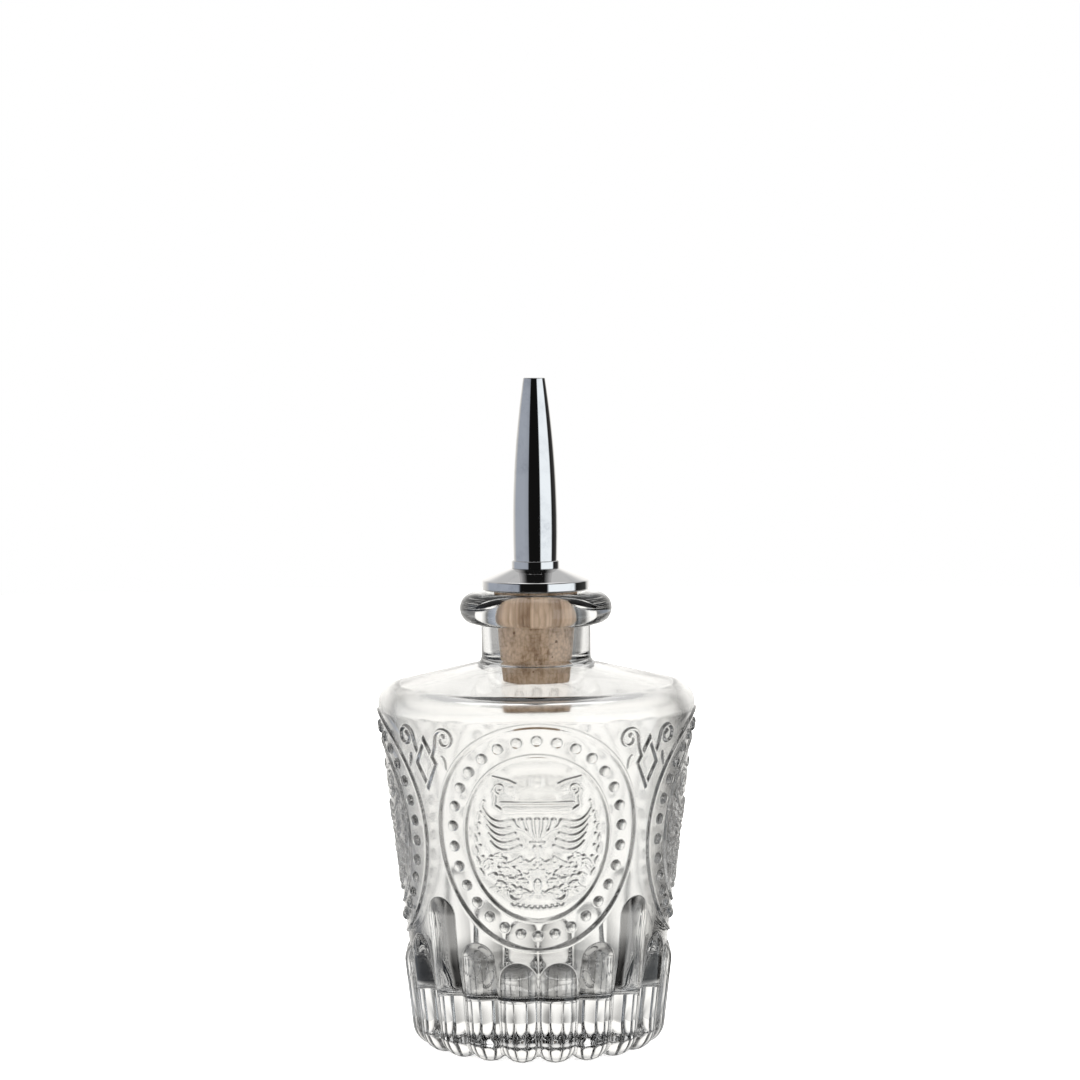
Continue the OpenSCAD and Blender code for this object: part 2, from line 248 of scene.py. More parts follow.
def skin(name: str, points: np.ndarray, ends: Ends) -> bpy.types.Object:
    """A closed smooth mesh over rows of points that each go once round.

    Args:
        name: Name of the piece.
        points: Rows, columns and x, y, z in millimetres. A pole's row lies on the axis.
        ends: Whether the rows close at two poles or join up as a ring.

    Returns:
        The new object.
    """
    rows, cols = points.shape[:2]
    if ends is Ends.POLES:
        inner = points[1:-1]
        rows -= 2
        verts = np.concatenate([inner.reshape(-1, 3), points[:1, 0], points[-1:, 0]])
    else:
        verts = points.reshape(-1, 3)
    here = np.arange(rows * cols).reshape(rows, cols)
    beside = np.roll(here, -1, axis=1)
    if ends is Ends.POLES:
        quads = np.stack([here[:-1], beside[:-1], beside[1:], here[1:]], axis=-1).reshape(-1, 4)
        low = np.stack([np.full(cols, rows * cols), beside[0], here[0]], axis=-1)
        high = np.stack([np.full(cols, rows * cols + 1), here[-1], beside[-1]], axis=-1)
        tris = np.concatenate([low, high])
    else:
        above, across = np.roll(here, -1, axis=0), np.roll(beside, -1, axis=0)
        quads = np.stack([here, beside, across, above], axis=-1).reshape(-1, 4)
        tris = np.zeros((0, 3), int)
    mesh = bpy.data.meshes.new(name)
    mesh.vertices.add(len(verts))
    mesh.vertices.foreach_set("co", (verts * MM).ravel())
    corners = np.concatenate([quads.ravel(), tris.ravel()])
    mesh.loops.add(len(corners))
    mesh.loops.foreach_set("vertex_index", corners)
    starts = np.concatenate([np.arange(len(quads)) * 4, len(quads) * 4 + np.arange(len(tris)) * 3])
    mesh.polygons.add(len(starts))
    mesh.polygons.foreach_set("loop_start", starts)
    mesh.polygons.foreach_set("use_smooth", np.ones(len(starts), bool))
    mesh.update(calc_edges=True)
    return add_object(name, mesh)


def turned(name: str, rows: np.ndarray, columns: int, ends: Ends,
           cut: np.ndarray | float = 0.0) -> bpy.types.Object:
    """A piece turned on the axis from a profile that runs with its outside on the right.

    Args:
        name: Name of the piece.
        rows: Radius and height of each point of the profile.
        columns: Number of points round the piece.
        ends: Whether the profile starts and ends on the axis or closes on itself.
        cut: How much nearer to the axis each point comes.

    Returns:
        The new object.
    """
    angle = once_round(columns)
    r, z = rows[:, :1] - cut, np.repeat(rows[:, 1:], columns, axis=1)
    points = np.stack([r * np.cos(angle), r * np.sin(angle), z], axis=-1)
    return skin(name, points, ends)


# Shader helpers


@dataclass
class Nodes:
    """A node tree that is filled by short calls."""

    tree: bpy.types.NodeTree

    def add(self, kind: str, inputs: dict | None = None, **settings: object) -> bpy.types.Node:
        """Adds a node, sets its properties, and sets or links its inputs.

        Args:
            kind: The node's type without its ShaderNode prefix.
            inputs: Values or output sockets for its inputs, by name or number.
            **settings: Properties of the node.

        Returns:
            The new node.
        """
        node = self.tree.nodes.new(kind if kind.startswith("Node") else "ShaderNode" + kind)
        for name, value in settings.items():
            setattr(node, name, value)
        self.feed(node, inputs or {})
        return node

    def feed(self, node: bpy.types.Node, inputs: dict) -> None:
        """Sets or links inputs of a node.

        Args:
            node: The node.
            inputs: Values or output sockets, by name or number.
        """
        for name, value in inputs.items():
            if isinstance(value, Socket):
                self.tree.links.new(value, node.inputs[name])
            else:
                node.inputs[name].default_value = value

    def span(self, value: Socket, ends: Pair, results: tuple[object, object] = (0.0, 1.0),
             kind: str = "SMOOTHSTEP") -> Socket:
        """A value carried from one range to another.

        Args:
            value: What drives it.
            ends: Where the change starts and ends.
            results: The values or sockets before and after the change.
            kind: How it runs between them, SMOOTHSTEP or LINEAR.

        Returns:
            The result socket.
        """
        inputs = {"Value": value, "From Min": ends[0], "From Max": ends[1], "To Min": results[0],
                  "To Max": results[1]}
        return self.add("MapRange", inputs, interpolation_type=kind).outputs["Result"]

    def noise(self, place: Socket, scale: Socket | float, detail: float, roughness: float = 0.5,
              distortion: float = 0.0) -> Socket:
        """The value of a noise texture at a place."""
        return self.add("TexNoise", {"Vector": place, "Scale": scale, "Detail": detail,
                                     "Roughness": roughness, "Distortion": distortion}).outputs["Fac"]

    def bump(self, height: Socket, distance: float, strength: float = 1.0) -> Socket:
        """The normal of a surface that a height makes uneven."""
        inputs = {"Height": height, "Strength": strength, "Distance": distance}
        return self.add("Bump", inputs).outputs["Normal"]

    def math(self, operation: str, *values: object) -> Socket:
        """The result of a Math node on up to three values or sockets."""
        return self.add("Math", dict(enumerate(values)), operation=operation).outputs[0]

    def mix(self, factor: object, first: object, second: object) -> Socket:
        """A blend from a first to a second colour, each a socket or a tuple of three."""
        first, second = ((*c, 1) if isinstance(c, tuple) else c for c in (first, second))
        return self.add("Mix", {"Factor": factor, 6: first, 7: second}, data_type="RGBA").outputs[2]

    def ramp(self, factor: Socket, stops: list[tuple[float, tuple]]) -> Socket:
        """A colour ramp.

        Args:
            factor: What drives the ramp.
            stops: Position and colour of each stop.

        Returns:
            The ramp's colour output.
        """
        node = self.add("ValToRGB", {"Fac": factor})
        marks = node.color_ramp.elements
        while len(marks) < len(stops):
            marks.new(0.5)
        for mark, (position, colour) in zip(marks, stops, strict=True):
            mark.position = position
            mark.color = (*colour, 1)
        return node.outputs["Color"]


def new_group(name: str, inputs: dict[str, float | None],
              outputs: dict[str, str]) -> tuple[Nodes, bpy.types.Node, bpy.types.Node]:
    """An empty shader node group with its sockets.

    Args:
        name: Name of the group.
        inputs: Starting value of each number input, or None for a vector input.
        outputs: Type of each output, Float, Color or Vector.

    Returns:
        The group's nodes, its input node and its output node.
    """
    tree = bpy.data.node_groups.new(name, "ShaderNodeTree")
    for label, value in inputs.items():
        kind = "NodeSocketVector" if value is None else "NodeSocketFloat"
        socket = tree.interface.new_socket(name=label, in_out="INPUT", socket_type=kind)
        if value is not None:
            socket.default_value = value
    for label, kind in outputs.items():
        tree.interface.new_socket(name=label, in_out="OUTPUT", socket_type="NodeSocket" + kind)
    nodes = Nodes(tree)
    return nodes, nodes.add("NodeGroupInput"), nodes.add("NodeGroupOutput")


def film_group() -> bpy.types.NodeTree:
    """A thin uneven film of handling and dust, for glass and metal alike.

    Returns:
        A group with the inputs Vector, Size, Low and High, and the outputs Mask and Roughness.
    """
    name = "handling film"
    if name in bpy.data.node_groups:
        return bpy.data.node_groups[name]
    nodes, given, out = new_group(name, {"Vector": None, "Size": 60.0, "Low": 0.0, "High": 0.1},
                                  {"Mask": "Float", "Roughness": "Float"})
    place, size = given.outputs["Vector"], given.outputs["Size"]
    broad = nodes.noise(place, size, 5.0, roughness=0.6, distortion=0.4)
    fine = nodes.noise(place, nodes.math("MULTIPLY", size, FILM_FINENESS), 3.0)
    mask = nodes.math("MULTIPLY", nodes.span(broad, FILM_PATCH), fine)
    rough = nodes.span(mask, (0.0, FILM_FULL), (given.outputs["Low"], given.outputs["High"]), "LINEAR")
    nodes.feed(out, {"Mask": mask, "Roughness": rough})
    return nodes.tree


def add_film(nodes: Nodes, place: Socket, size: float, roughness: Pair) -> bpy.types.Node:
    """The handling film for a material, with patches by size and roughness outside and inside them."""
    inputs = {"Vector": place, "Size": size, "Low": roughness[0], "High": roughness[1]}
    return nodes.add("Group", inputs, node_tree=film_group())


def new_material(name: str) -> tuple[bpy.types.Material, Nodes, bpy.types.Node]:
    """A material with an empty Principled shader joined to its output.

    Args:
        name: Name of the material.

    Returns:
        The material, its nodes and its Principled shader.
    """
    material = bpy.data.materials.new(name)
    material.use_nodes = True
    material.node_tree.nodes.clear()
    nodes = Nodes(material.node_tree)
    shader = nodes.add("BsdfPrincipled")
    nodes.add("OutputMaterial", {"Surface": shader.outputs[0]})
    return material, nodes, shader


@dataclass(frozen=True)
class GlassFinish:
    """Clear fire-polished glass with the faint waves of pressed ware, and a slight haze on its inside.

    The haze lies within inner_line (radius at the foot, gain with height) and under shoulder_line
    (height on the axis, drop with radius). It comes and goes at the heights in inner_band, in metres.
    """

    name: str = "pressed glass"
    tint_low: Colour = (0.975, 0.975, 0.965)
    tint_high: Colour = (0.995, 0.995, 0.99)
    ior: float = 1.5
    film_size: float = 70.0
    wave_scale: float = 90.0
    wave_height: float = 0.00006
    tint_ends: Pair = (0.35, 0.65)
    roughness: Pair = (0.0, 0.035)
    inner_roughness: float = 0.13
    inner_line: Pair = (0.0238, 0.105)
    inner_band: tuple[float, float, float, float] = (0.026, 0.034, 0.0735, 0.079)
    shoulder_line: Pair = (0.0831, 0.236)

    def material(self) -> bpy.types.Material:
        """The glass, with its film outside and its haze inside.

        Returns:
            The finished material.
        """
        material, nodes, shader = new_material(self.name)
        place = nodes.add("TexCoord").outputs["Object"]
        film = add_film(nodes, place, self.film_size, self.roughness)
        wave = nodes.noise(place, self.wave_scale, 2.0, roughness=0.45)
        tint = nodes.ramp(wave, list(zip(self.tint_ends, (self.tint_low, self.tint_high))))
        split = nodes.add("SeparateXYZ", {"Vector": place})
        flat = nodes.add("CombineXYZ", {"X": split.outputs["X"], "Y": split.outputs["Y"]})
        reach = nodes.add("VectorMath", {0: flat.outputs[0]}, operation="LENGTH").outputs["Value"]
        edge = nodes.math("MULTIPLY_ADD", split.outputs["Z"], self.inner_line[1], self.inner_line[0])
        in_wall = nodes.math("LESS_THAN", reach, edge)
        rise = nodes.span(split.outputs["Z"], self.inner_band[:2], (0.0, self.inner_roughness), "LINEAR")
        fade = nodes.span(split.outputs["Z"], self.inner_band[2:], (1.0, 0.0), "LINEAR")
        haze = nodes.math("MULTIPLY", rise, fade)
        level = nodes.math("MULTIPLY_ADD", reach, self.shoulder_line[1], split.outputs["Z"])
        in_shoulder = nodes.math("LESS_THAN", level, self.shoulder_line[0])
        inner = nodes.math("MULTIPLY", nodes.math("MULTIPLY", in_wall, in_shoulder), haze)
        rough = nodes.math("MAXIMUM", film.outputs["Roughness"], inner)
        nodes.feed(shader, {"Base Color": tint, "Roughness": rough, "IOR": self.ior,
                            "Normal": nodes.bump(wave, self.wave_height), "Transmission Weight": 1.0})
        return material


@dataclass(frozen=True)
class SteelFinish:
    """Polished plated metal with lathe lines, handling marks and a little wear."""

    name: str = "polished steel"
    dark: Colour = (0.6, 0.6, 0.61)
    light: Colour = (0.74, 0.735, 0.735)
    roughness: Pair = (0.035, 0.14)
    film_size: float = 110.0
    line_scale: float = 2600.0
    line_height: float = 0.0000015
    wear_end: float = 0.6

    def material(self) -> bpy.types.Material:
        """The metal, with its lines and its film.

        Returns:
            The finished material.
        """
        material, nodes, shader = new_material(self.name)
        place = nodes.add("TexCoord").outputs["Object"]
        film = add_film(nodes, place, self.film_size, self.roughness)
        split = nodes.add("SeparateXYZ", {"Vector": place})
        squares = (nodes.math("POWER", split.outputs[way], 2.0) for way in "XY")
        reach = nodes.math("SQRT", nodes.math("ADD", *squares))
        turned_place = nodes.add("CombineXYZ", {"X": reach, "Y": 0.0, "Z": split.outputs["Z"]})
        lines = nodes.noise(turned_place.outputs[0], self.line_scale, 3.0, roughness=0.7)
        shade = nodes.ramp(film.outputs["Mask"], [(0.0, self.light), (self.wear_end, self.dark)])
        nodes.feed(shader, {"Base Color": shade, "Roughness": film.outputs["Roughness"],
                            "Normal": nodes.bump(lines, self.line_height), "Metallic": 1.0})
        return material


@dataclass(frozen=True)
class CorkFinish:
    """Natural cork with upright grain, cells, fine streaks and dark pores.

    A stretch is what heights are multiplied by before a texture reads them, so less of it draws the
    texture out upwards. The ends are the texture values between which a tone changes.
    """

    name: str = "natural cork"
    pale: Colour = (0.78, 0.59, 0.44)
    middle: Colour = (0.63, 0.45, 0.31)
    dark: Colour = (0.27, 0.155, 0.085)
    grain_scale: float = 520.0
    grain_stretch: float = 0.22
    grain_tones: Triple = (0.4, 0.48, 0.56)
    cell_scale: float = 1500.0
    cell_tones: Triple = (0.1, 0.5, 0.85)
    cell_share: float = 0.45
    pore_scale: float = 640.0
    pore_stretch: float = 0.8
    pore_noise_scale: float = 700.0
    pore_ends: Pair = (0.35, 0.42)
    streak_scale: float = 3200.0
    streak_stretch: float = 0.09
    streak_ends: Pair = (0.36, 0.5)
    streak_strength: float = 0.2
    roughness: Pair = (0.62, 0.9)
    grain_relief: float = 0.4
    relief_strength: float = 0.7
    height: float = 0.00012

    def material(self) -> bpy.types.Material:
        """The cork, from its grain up to its pores.

        Returns:
            The finished material.
        """
        material, nodes, shader = new_material(self.name)
        place = nodes.add("TexCoord").outputs["Object"]
        grain_place, pore_place, streak_place = (
            nodes.add("Mapping", {"Vector": place, "Scale": (1.0, 1.0, stretch)}).outputs[0]
            for stretch in (self.grain_stretch, self.pore_stretch, self.streak_stretch))
        grain = nodes.noise(grain_place, self.grain_scale, 6.0, roughness=0.62)
        cells = nodes.add("TexVoronoi", {"Vector": place, "Scale": self.cell_scale})
        pores = nodes.add("TexVoronoi", {"Vector": pore_place, "Scale": self.pore_scale, "Randomness": 1.0})
        pore_noise = nodes.noise(pore_place, self.pore_noise_scale, 4.0)
        edge = nodes.math("MULTIPLY_ADD", pore_noise, 0.5, pores.outputs["Distance"])
        pore = nodes.span(edge, self.pore_ends)
        grain_tones = zip(self.grain_tones, (self.dark, self.middle, self.pale))
        cell_tones = zip(self.cell_tones, (self.pale, self.middle, self.dark))
        base = nodes.ramp(grain, list(grain_tones))
        cell_tone = nodes.ramp(cells.outputs["Distance"], list(cell_tones))
        mottled = nodes.mix(self.cell_share, base, cell_tone)
        streaks = nodes.noise(streak_place, self.streak_scale, 3.0)
        streak = nodes.span(streaks, self.streak_ends, (self.streak_strength, 0.0), "LINEAR")
        speckle = nodes.mix(streak, mottled, self.dark)
        colour = nodes.mix(pore, self.dark, speckle)
        relief = nodes.math("MULTIPLY_ADD", grain, self.grain_relief, pore)
        rough = nodes.span(grain, (0.0, 1.0), self.roughness, "LINEAR")
        nodes.feed(shader, {"Base Color": colour, "Roughness": rough,
                            "Normal": nodes.bump(relief, self.height, self.relief_strength)})
        return material


@dataclass(frozen=True)
class Band:
    """A stop in the ring of brightness round the bottle."""

    degrees: float
    level: float
    cast: Colour = (1.0, 0.985, 0.955)

    def stop(self) -> tuple[float, Colour]:
        """Its place along a ramp and its colour."""
        return self.degrees / 360 + 0.5, tuple(self.level * c for c in self.cast)


LAVENDER = (0.92, 1.0, 1.14)
COOL = (0.94, 1.0, 1.04)


@dataclass(frozen=True)
class Surroundings:
    """Brightness of what stands round the bottle, by the angle from the front, positive to the right.

    Metal sees the studio. Glass sees a white wall behind the bottle and grey ones before it and to its
    sides, with black flags between them. The floor glows with painted light and shade in the same way,
    near the bottle, far from it and under it.
    """

    studio: tuple[Band, ...] = (
        Band(-180, 1.12), Band(-158, 1.1), Band(-148, 0.9), Band(-134, 0.7),
        Band(-118, 0.47, LAVENDER), Band(-60, 0.47, LAVENDER), Band(-37, 0.42, LAVENDER), Band(-33, 0.008),
        Band(25, 0.008), Band(29, 1.2, COOL), Band(90, 1.2, COOL), Band(97, 0.015),
        Band(134, 0.06), Band(146, 0.8), Band(158, 1.1), Band(180, 1.12))
    wall: tuple[Band, ...] = (
        Band(-180, 1.2), Band(-160, 1.16), Band(-148, 0.7), Band(-138, 0.2),
        Band(-128, 0.3, LAVENDER), Band(-108, 0.42, LAVENDER), Band(-100, 0.5), Band(-80, 0.5),
        Band(-72, 0.02), Band(-58, 0.3, LAVENDER), Band(-38, 0.3, LAVENDER), Band(-22, 0.5),
        Band(22, 0.5), Band(34, 0.9, COOL), Band(60, 0.7, COOL), Band(70, 0.02),
        Band(79, 0.5), Band(99, 0.5), Band(107, 0.02), Band(114, 0.2, COOL),
        Band(128, 0.14), Band(138, 0.18), Band(148, 0.7), Band(160, 1.16), Band(180, 1.2))
    # The floor's three rings below are painted light and shade that the paper glows with for rays other than
    # the camera's: near the bottle, far from it and under it.
    painted_near_floor_light: tuple[Band, ...] = (
        Band(-180, 0.95), Band(-174, 0.8), Band(-163, 0.4), Band(-153, 0.2), Band(-142, 0.012),
        Band(-112, 0.01), Band(-104, 0.3), Band(-88, 0.3), Band(-76, 0.01), Band(-30, 0.01),
        Band(-18, 0.12), Band(18, 0.12), Band(30, 0.01), Band(76, 0.01), Band(88, 0.3), Band(104, 0.3),
        Band(112, 0.01), Band(142, 0.012), Band(153, 0.2), Band(163, 0.4), Band(174, 0.8), Band(180, 0.95))
    painted_far_floor_light: tuple[Band, ...] = (
        Band(-180, 1.16), Band(-161, 1.08), Band(-142, 0.4), Band(-100, 0.42), Band(-80, 0.42),
        Band(-60, 0.1), Band(-26, 0.42), Band(26, 0.42), Band(60, 0.05), Band(80, 0.4), Band(100, 0.4),
        Band(120, 0.2), Band(142, 0.36), Band(161, 1.08), Band(180, 1.16))
    # Painted light and shade on the paper right under the bottle: bright behind it, black in front of it.
    under: tuple[Band, ...] = (
        Band(-180, 0.85), Band(-166, 0.8), Band(-154, 0.22), Band(-118, 0.18), Band(-104, 0.6),
        Band(-84, 0.5), Band(-62, 0.01), Band(62, 0.01), Band(84, 0.5), Band(104, 0.6),
        Band(118, 0.18), Band(154, 0.22), Band(166, 0.8), Band(180, 0.85))
    wall_top: Pair = (0.22, 0.5)
    top: Pair = (0.012, 0.62)
    top_edge: Pair = (-0.35, 0.35)

    def ring(self, nodes: Nodes, bands: tuple[Band, ...], x: Socket, y: Socket) -> Socket:
        """Colour of the surroundings towards a place.

        Args:
            nodes: Where the nodes go.
            bands: The ring to read.
            x: How far right the place is.
            y: How far behind the bottle the place is.

        Returns:
            The colour socket.
        """
        across = nodes.math("ARCTAN2", x, nodes.math("MULTIPLY", y, -1.0))
        share = nodes.math("ADD", nodes.math("DIVIDE", across, TURN), 0.5)
        return nodes.ramp(share, [band.stop() for band in bands])

    def view(self, nodes: Nodes, glass_bands: tuple[Band, ...], x: Socket, y: Socket) -> Socket:
        """The studio for rays from metal, and a ring of its own for rays that came through glass."""
        through = nodes.math("GREATER_THAN", nodes.add("LightPath").outputs["Transmission Depth"], 0.5)
        return nodes.mix(through, self.ring(nodes, self.studio, x, y), self.ring(nodes, glass_bands, x, y))


@dataclass(frozen=True)
class FloorFinish:
    """Matt white paper, bright to the viewer, that shows all other rays a painted glow of light and shade,
    brightest from behind the bottle.
    """

    name: str = "white paper"
    low: Colour = (0.93, 0.93, 0.93)
    high: Colour = (0.96, 0.96, 0.96)
    mottle_scale: float = 8.0
    mottle_ends: Pair = (0.3, 0.7)
    roughness: float = 0.9
    shine: float = 0.1
    # Painted shadow: the paper right under the middle of the bottle glows almost black, fading out between
    # these two radii.
    painted_shadow_level: float = 0.03
    painted_shadow_edge: Pair = (0.011, 0.015)
    under_edge: Pair = (0.026, 0.06)
    far_edge: Pair = (0.085, 0.13)
    # Painted glow: the paper emits white light to the camera, half strength near the bottle and full from
    # these distances out, so the far paper stays white.
    glow: Pair = (0.5, 1.0)
    glow_edge: Pair = (0.08, 0.4)
    surroundings: Surroundings = Surroundings()

    def material(self) -> bpy.types.Material:
        """The paper, white to the camera, and a painted glow of light and shade for all other rays.

        Returns:
            The finished material.
        """
        material, nodes, shader = new_material(self.name)
        place = nodes.add("TexCoord").outputs["Object"]
        mottle = nodes.noise(place, self.mottle_scale, 4.0)
        tone = nodes.ramp(mottle, list(zip(self.mottle_ends, (self.low, self.high))))
        split = nodes.add("SeparateXYZ", {"Vector": place})
        reach = nodes.add("VectorMath", {0: place}, operation="LENGTH").outputs["Value"]
        # The paper glows for the camera with painted light that grows away from the bottle.
        nodes.feed(shader, {"Base Color": tone, "Roughness": self.roughness, "Specular IOR Level": self.shine,
                            "Emission Color": (1, 1, 1, 1),
                            "Emission Strength": nodes.span(reach, self.glow_edge, self.glow)})
        # Rays other than the camera's see a painted glow instead of lit paper: painted light and shade from
        # the rings, bright behind the bottle and dark in front of it.
        x, y = split.outputs["X"], split.outputs["Y"]
        near = self.surroundings.view(nodes, self.surroundings.painted_near_floor_light, x, y)
        outer = self.surroundings.view(nodes, self.surroundings.painted_far_floor_light, x, y)
        ring = nodes.mix(nodes.span(reach, self.far_edge), near, outer)
        away = nodes.span(reach, self.under_edge)
        # Painted shadow right under the bottle's middle.
        core = nodes.span(reach, self.painted_shadow_edge, kind="LINEAR")
        under = self.surroundings.ring(nodes, self.surroundings.under, x, y)
        under = nodes.mix(core, (self.painted_shadow_level,) * 3, under)
        # The painted glow that all rays but the camera's see.
        painted_glow = nodes.add("Emission", {"Color": nodes.mix(away, under, ring)})
        camera_ray = nodes.add("LightPath").outputs["Is Camera Ray"]
        both = nodes.add("MixShader", {0: camera_ray, 1: painted_glow.outputs[0], 2: shader.outputs[0]})
        out = next(n for n in nodes.tree.nodes if n.type == "OUTPUT_MATERIAL")
        nodes.feed(out, {"Surface": both.outputs[0]})
        return material


# Relief on the glass


@dataclass
class Relief:
    """Heights of pressed ornament over a patch of the side, in millimetres across and up."""

    x: np.ndarray
    y: np.ndarray
    height: np.ndarray = field(init=False)

    def __post_init__(self) -> None:
        """Starts from a plain patch."""
        self.height = np.zeros_like(self.x)

    def add(self, height: np.ndarray) -> None:
        """Raises the patch to a height where that is more."""
        self.height = np.maximum(self.height, height)

    def stroke(self, points: np.ndarray, width: float, height: float, taper: float = 0.0) -> None:
        """A rounded line along some points.

        Args:
            points: Rows of x and y.
            width: Full width of the line.
            height: Height of its crest.
            taper: Share of the width that is lost by its end.
        """
        count = len(points) - 1
        for i in range(count):
            (ax, ay), (bx, by) = points[i], points[i + 1]
            dx, dy = bx - ax, by - ay
            t = np.clip(((self.x - ax) * dx + (self.y - ay) * dy) / max(dx * dx + dy * dy, 1e-9), 0, 1)
            reach = width / 2 * (1 - taper * (i + t) / count)
            distance = np.hypot(self.x - ax - t * dx, self.y - ay - t * dy)
            self.add(height * mound(distance, reach))

    def bar(self, start: Pair, end: Pair, width: float, height: float) -> None:
        """A straight rounded line between two points."""
        self.stroke(np.array([start, end]), width, height)

    def dome(self, centre: Pair, radius: float, height: float) -> None:
        """A round boss."""
        self.add(height * mound(np.hypot(self.x - centre[0], self.y - centre[1]), radius) ** 0.8)

    def leaf(self, root: Pair, angle: float, length: float, width: float, height: float,
             bend: float = 0.0) -> None:
        """A leaf with a sunk rib down its middle and fine side veins.

        Args:
            root: Where its stalk starts.
            angle: Direction of the leaf, in degrees from the right.
            length: Length from stalk to tip.
            width: Greatest width.
            height: Greatest height.
            bend: Sideways shift of the tip as a share of the length.
        """
        c, s = math.cos(math.radians(angle)), math.sin(math.radians(angle))
        along = ((self.x - root[0]) * c + (self.y - root[1]) * s) / length
        side = (self.y - root[1]) * c - (self.x - root[0]) * s - bend * length * along ** 2
        inside = (along > 0) & (along < 1)
        half = width / 2 * np.sin(math.pi * np.clip(along, 0, 1) ** 0.75)
        body = mound(side, np.maximum(half, 1e-3))
        rib = 1 - 0.35 * np.exp(-(side / (0.1 * width)) ** 2)
        veins = 1 - 0.1 * (1 + np.cos(TURN * (along * 5 + np.abs(side) / width)))
        self.add(np.where(inside, height * body ** 0.7 * rib * veins, 0))

    def flower(self, centre: Pair, radius: float, petals: int, height: float, turn: float = 0.0) -> None:
        """An open flower seen from the front.

        Args:
            centre: Middle of the flower.
            radius: Radius to the petals' tips.
            petals: Number of petals.
            height: Height of the petals.
            turn: Angle of the first petal, in degrees.
        """
        dx, dy = self.x - centre[0], self.y - centre[1]
        distance, angle = np.hypot(dx, dy), np.arctan2(dy, dx) - math.radians(turn)
        edge = radius * (0.62 + 0.38 * np.abs(np.cos(angle * petals / 2)))
        cup = mound(distance, edge) ** 0.6 * (0.6 + 0.4 * distance / radius)
        self.add(height * cup * (0.7 + 0.3 * np.abs(np.cos(angle * petals / 2))))
        self.dome(centre, radius * 0.28, height * 1.1)


